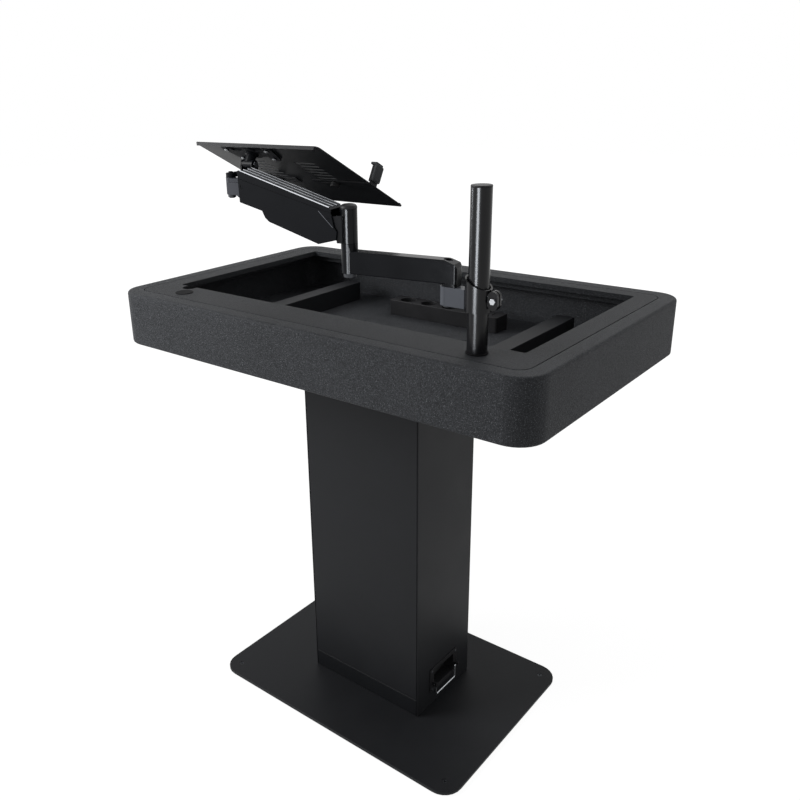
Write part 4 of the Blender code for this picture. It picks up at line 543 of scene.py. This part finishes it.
link_grey = coated_casting(
    "pale grey casting", dark=(0.070, 0.076, 0.090), light=(0.100, 0.108, 0.126), rough=0.38, shine=0.20
)
GLOSSY_TUBES.objects.link(dress("clamp_collar", gloss_black, edge=0.0004))
dress("clamp_liner", black_plastic, edge=0.0)
dress("clamp_bolt", bright_zinc, edge=0.0003)
dress("clamp_nut", bright_zinc, edge=0.0002)
dress("clamp_link", link_grey, edge=0.0008)
dress("link_pivot_pin", dark_zinc, edge=0.0004)

# Extension arm and post: black die castings with a smooth coat. The post turns on a spigot in the arm's
# sleeve, a nut holds it from below, and a plastic cover closes the cable channel under the arm.
extension_coat = coated_casting(
    "satin black arm casting",
    dark=(0.004, 0.0045, 0.006), light=(0.009, 0.010, 0.0125), rough=0.15, shine=0.08,
)
semi_gloss = coated_casting(
    "semi-gloss black casting", dark=(0.006, 0.0065, 0.008), light=(0.011, 0.012, 0.0145), rough=0.17
)
satin_black = coated_casting(
    "satin black casting", dark=(0.004, 0.0045, 0.006), light=(0.009, 0.010, 0.0125), rough=0.36, shine=0.09
)
GLOSSY_TUBES.objects.link(dress("extension_arm", extension_coat, edge=0.0012))
dress("extension_cable_cover", black_plastic, edge=0.0003)
GLOSSY_TUBES.objects.link(dress("post_swivel", semi_gloss, edge=0.0006))
dress("post_foot_nut", dark_zinc, edge=0.0004)
dress("post_cap", black_plastic, edge=0.0003)
for name in ("root_pin_upper", "root_pin_lower"):
    dress(name, satin_black, edge=0.0003)

# Gas-spring arm: a deep cast channel, and a cast cap over it with four raised strips along its top, coloured
# near white as a painted highlight along its ridges.
# The gas spring and the parallel bar lie inside. Thin grey bars along the folds by the root are a painted
# highlight of those folds.
ARM_YAW = radians(191.1)
ARM_RISE = radians(15.5)
ARM_REACH = 0.186
ARM_HALF_WIDTH = 0.022
CAP_RISE = 0.0295  # climb of the cap's top for each unit of its length
CAP_FOOT = 0.0200  # height of the cap's top at the root
CAP_OVERHANG = 0.006  # past the tip pin's axis
RIB_ROWS = (-0.0205, -0.0068, 0.0068, 0.0205)
RIB_START = 0.004
RIB_OVERRUN = 0.0115  # past the same axis
RIB_WIDTH = 0.0016
RIB_HEIGHT = 0.0021
RIB_SINK = 0.0002
CREASE = ((0.0225, 0.0085), (-0.0120, -0.0105))  # along and up, on each side by the root
CREASE_WIDTH = 0.0009
CREASE_THICKNESS = 0.0006


def joint_place(name):
    """The point that a joint's axis runs through."""
    joints = frame["record"]["behaviour"]["joints"]
    return next(joint["pos_m"] for joint in joints if joint["name"] == name)


def in_frame(origin, turns):
    """The matrix of a piece's own frame: its origin, then turns about its own axes in order."""
    made = Matrix.Translation(origin)
    for axis, angle in turns:
        made = made @ Matrix.Rotation(angle, 4, axis)
    return made


def add_bar(shape, place, start, stop, thickness, height, lift=0.0):
    """Adds a bar between two points of the XZ plane, so thick along Y, so high, and lifted off their line."""
    along = Vector(stop) - Vector(start)
    across = Vector((0.0, 1.0, 0.0))
    up = along.cross(across).normalized()
    spread = Matrix((along, across * thickness, up * height)).transposed().to_4x4()
    middle = Matrix.Translation((Vector(start) + Vector(stop)) / 2 + up * lift)
    bmesh.ops.create_cube(shape, size=1.0, matrix=place @ middle @ spread)


arm_place = in_frame(joint_place("arm_lift"), (("Z", ARM_YAW), ("Y", -ARM_RISE)))
arm_highlight_strips = bmesh.new()
for row in RIB_ROWS:
    start = (RIB_START, row, CAP_FOOT)
    stop = (ARM_REACH + RIB_OVERRUN, row, CAP_FOOT + (ARM_REACH + CAP_OVERHANG) * CAP_RISE)
    add_bar(arm_highlight_strips, arm_place, start, stop, RIB_WIDTH, RIB_HEIGHT, RIB_HEIGHT / 2 - RIB_SINK)
creases = bmesh.new()
for side in (-1, 1):
    start, stop = [(x, side * ARM_HALF_WIDTH, z) for x, z in CREASE]
    add_bar(creases, arm_place, start, stop, CREASE_THICKNESS, CREASE_WIDTH)
# The near-white colour of the cap's strips is a painted highlight along the cap's ridges.
highlight_trim = plated_steel(
    "painted highlight trim", dark=(0.60, 0.62, 0.66), light=(0.86, 0.88, 0.92), rough=0.16
)
# The grey of the bars on the arm's sides is a painted highlight along the folds by the root.
crease_highlight = plated_steel("painted crease highlight", dark=(0.10, 0.105, 0.12), light=(0.20, 0.21, 0.23), rough=0.30)
satin_grey = coated_casting(
    "satin grey casting", dark=(0.048, 0.051, 0.062), light=(0.074, 0.078, 0.091), rough=0.38, shine=0.20
)
dress("arm_channel", satin_black, edge=0.0004)
dress("arm_top_cap", satin_black, edge=0.0004)
# The cap's strips wear the painted highlight colour.
highlight_strips = add_piece("arm_highlight_strips", arm_highlight_strips, highlight_trim, "arm")
ease_edges(highlight_strips, width=0.0004)
# The side bars wear the painted crease highlight.
crease_highlight_bars = add_piece("arm_side_crease_highlights", creases, crease_highlight, "arm")
ease_edges(crease_highlight_bars, width=0.0002)
dress("gas_spring_cylinder", gloss_black, edge=0.0004)
dress("gas_spring_rod", bright_zinc, edge=0.0003)
dress("parallel_bar", satin_grey, edge=0.0004)

# Head: a grey cast bracket that two pins keep upright at the arm's end, a black cast knuckle that turns in
# it, and a tilt block with the enamelled steel plate that four cross-head screws hold under the tray.
PLATE_SCREWS = ((0.053, -0.016), (0.042, 0.020))  # X and Y, and mirrored to the other side
PLATE_SCREW_HEAD = 0.0046  # radius
PLATE_SCREW_HEIGHT = 0.0016
PLATE_UNDERSIDE = -0.0018  # in the plate's own frame
TRAY_TILT = radians(28.05)
matt_black = powder_coat(
    "matt black enamel", dark=(0.007, 0.0075, 0.009), light=(0.014, 0.015, 0.018), rough=0.62
)
dress("end_bracket", satin_grey, edge=0.0006)
for name in ("tip_pin_upper", "tip_pin_lower"):
    dress(name, satin_black, edge=0.0003)
dress("head_knuckle", satin_black, edge=0.0005)
dress("head_stem_nut", dark_zinc, edge=0.0)
dress("tilt_bolt", dark_zinc, edge=0.0003)
dress("tilt_block", satin_black, edge=0.0004)
dress("mounting_plate", matt_black, edge=0.0003)
plate_place = in_frame(joint_place("plate_roll"), (("X", -TRAY_TILT),))
down = plate_place.to_3x3() @ Vector((0.0, 0.0, -1.0))
plate_screws = bmesh.new()
for side in (-1, 1):
    for x, y in PLATE_SCREWS:
        head_place = plate_place @ Vector((side * x, y, PLATE_UNDERSIDE))
        cross_head(plate_screws, head_place, down, PLATE_SCREW_HEAD, PLATE_SCREW_HEIGHT)
add_piece("plate_screws", plate_screws, bright_zinc, "tray_plate")

# Tray: powder-coated sheet steel with cooling slots. At each side slides a grip of bent steel, with a
# rubber pad inside, a rubber cushion and hook pushed over its end, and a clamping knob under the tray.
CUSHION_BULGE = 0.0065  # outwards from the grip's outer face
CUSHION_WRAP = 0.0022  # back round the edges of the grip
CUSHION_OVERLAP = 0.0005  # past those edges
CUSHION_FOOT = 0.006  # above the grip's lowest point
CUSHION_ROUND = 0.0042
HOOK_REACH = 0.0125  # inwards from the grip's outer face, over the pad
HOOK_ROOT = 0.0030  # outwards from that face
HOOK_THICKNESS = 0.0045
HOOK_ROUND = 0.0018
HOOK_SINK = 0.0003  # into the cushion
ROUND_SEGMENTS = 5


def rounded_block(shape, place, low, high, radius):
    """Adds a block between two corners in the frame of a place, with its edges rounded over."""
    low, high = Vector(low), Vector(high)
    block = add_block(shape, place, (low + high) / 2, high - low)
    edges = list(dict.fromkeys(edge for vert in block for edge in vert.link_edges))
    bmesh.ops.bevel(
        shape, geom=edges, offset=radius, affect="EDGES", segments=ROUND_SEGMENTS, profile=0.5, material=-1,
        clamp_overlap=True,
    )


satin_powder = powder_coat(
    "satin black powder coat", dark=(0.013, 0.0138, 0.0155), light=(0.025, 0.0265, 0.029), rough=0.36
)
grey_rubber = rubber("grey rubber", dark=(0.046, 0.049, 0.051), light=(0.078, 0.081, 0.085))
dress("tray", satin_powder, edge=0.0005)
for side, outward in (("left", -1), ("right", 1)):
    dress(f"grip_bar_{side}", black_powder, edge=0.0004)
    dress(f"grip_pad_{side}", black_rubber, edge=0.0010)
    dress(f"grip_knob_{side}", black_plastic, edge=0.0004)
    points = frame["nodes"][f"grip_bar_{side}"].data.vertices
    corners = [plate_place.inverted() @ point.co for point in points]
    outer = max(outward * corner.x for corner in corners)
    near, far = min(corner.y for corner in corners), max(corner.y for corner in corners)
    foot, top = min(corner.z for corner in corners), max(corner.z for corner in corners)
    cushion = bmesh.new()
    left, right = sorted((outward * (outer - CUSHION_WRAP), outward * (outer + CUSHION_BULGE)))
    low = (left, near - CUSHION_OVERLAP, foot + CUSHION_FOOT)
    high = (right, far + CUSHION_OVERLAP, top + 2 * CUSHION_OVERLAP)
    rounded_block(cushion, plate_place, low, high, CUSHION_ROUND)
    left, right = sorted((outward * (outer - HOOK_REACH), outward * (outer + HOOK_ROOT)))
    low = (left, near + CUSHION_OVERLAP, top - HOOK_SINK)
    high = (right, far - CUSHION_OVERLAP, top + HOOK_THICKNESS)
    rounded_block(cushion, plate_place, low, high, HOOK_ROUND)
    add_piece(f"grip_cushion_{side}", cushion, grey_rubber, f"grip_{side}")
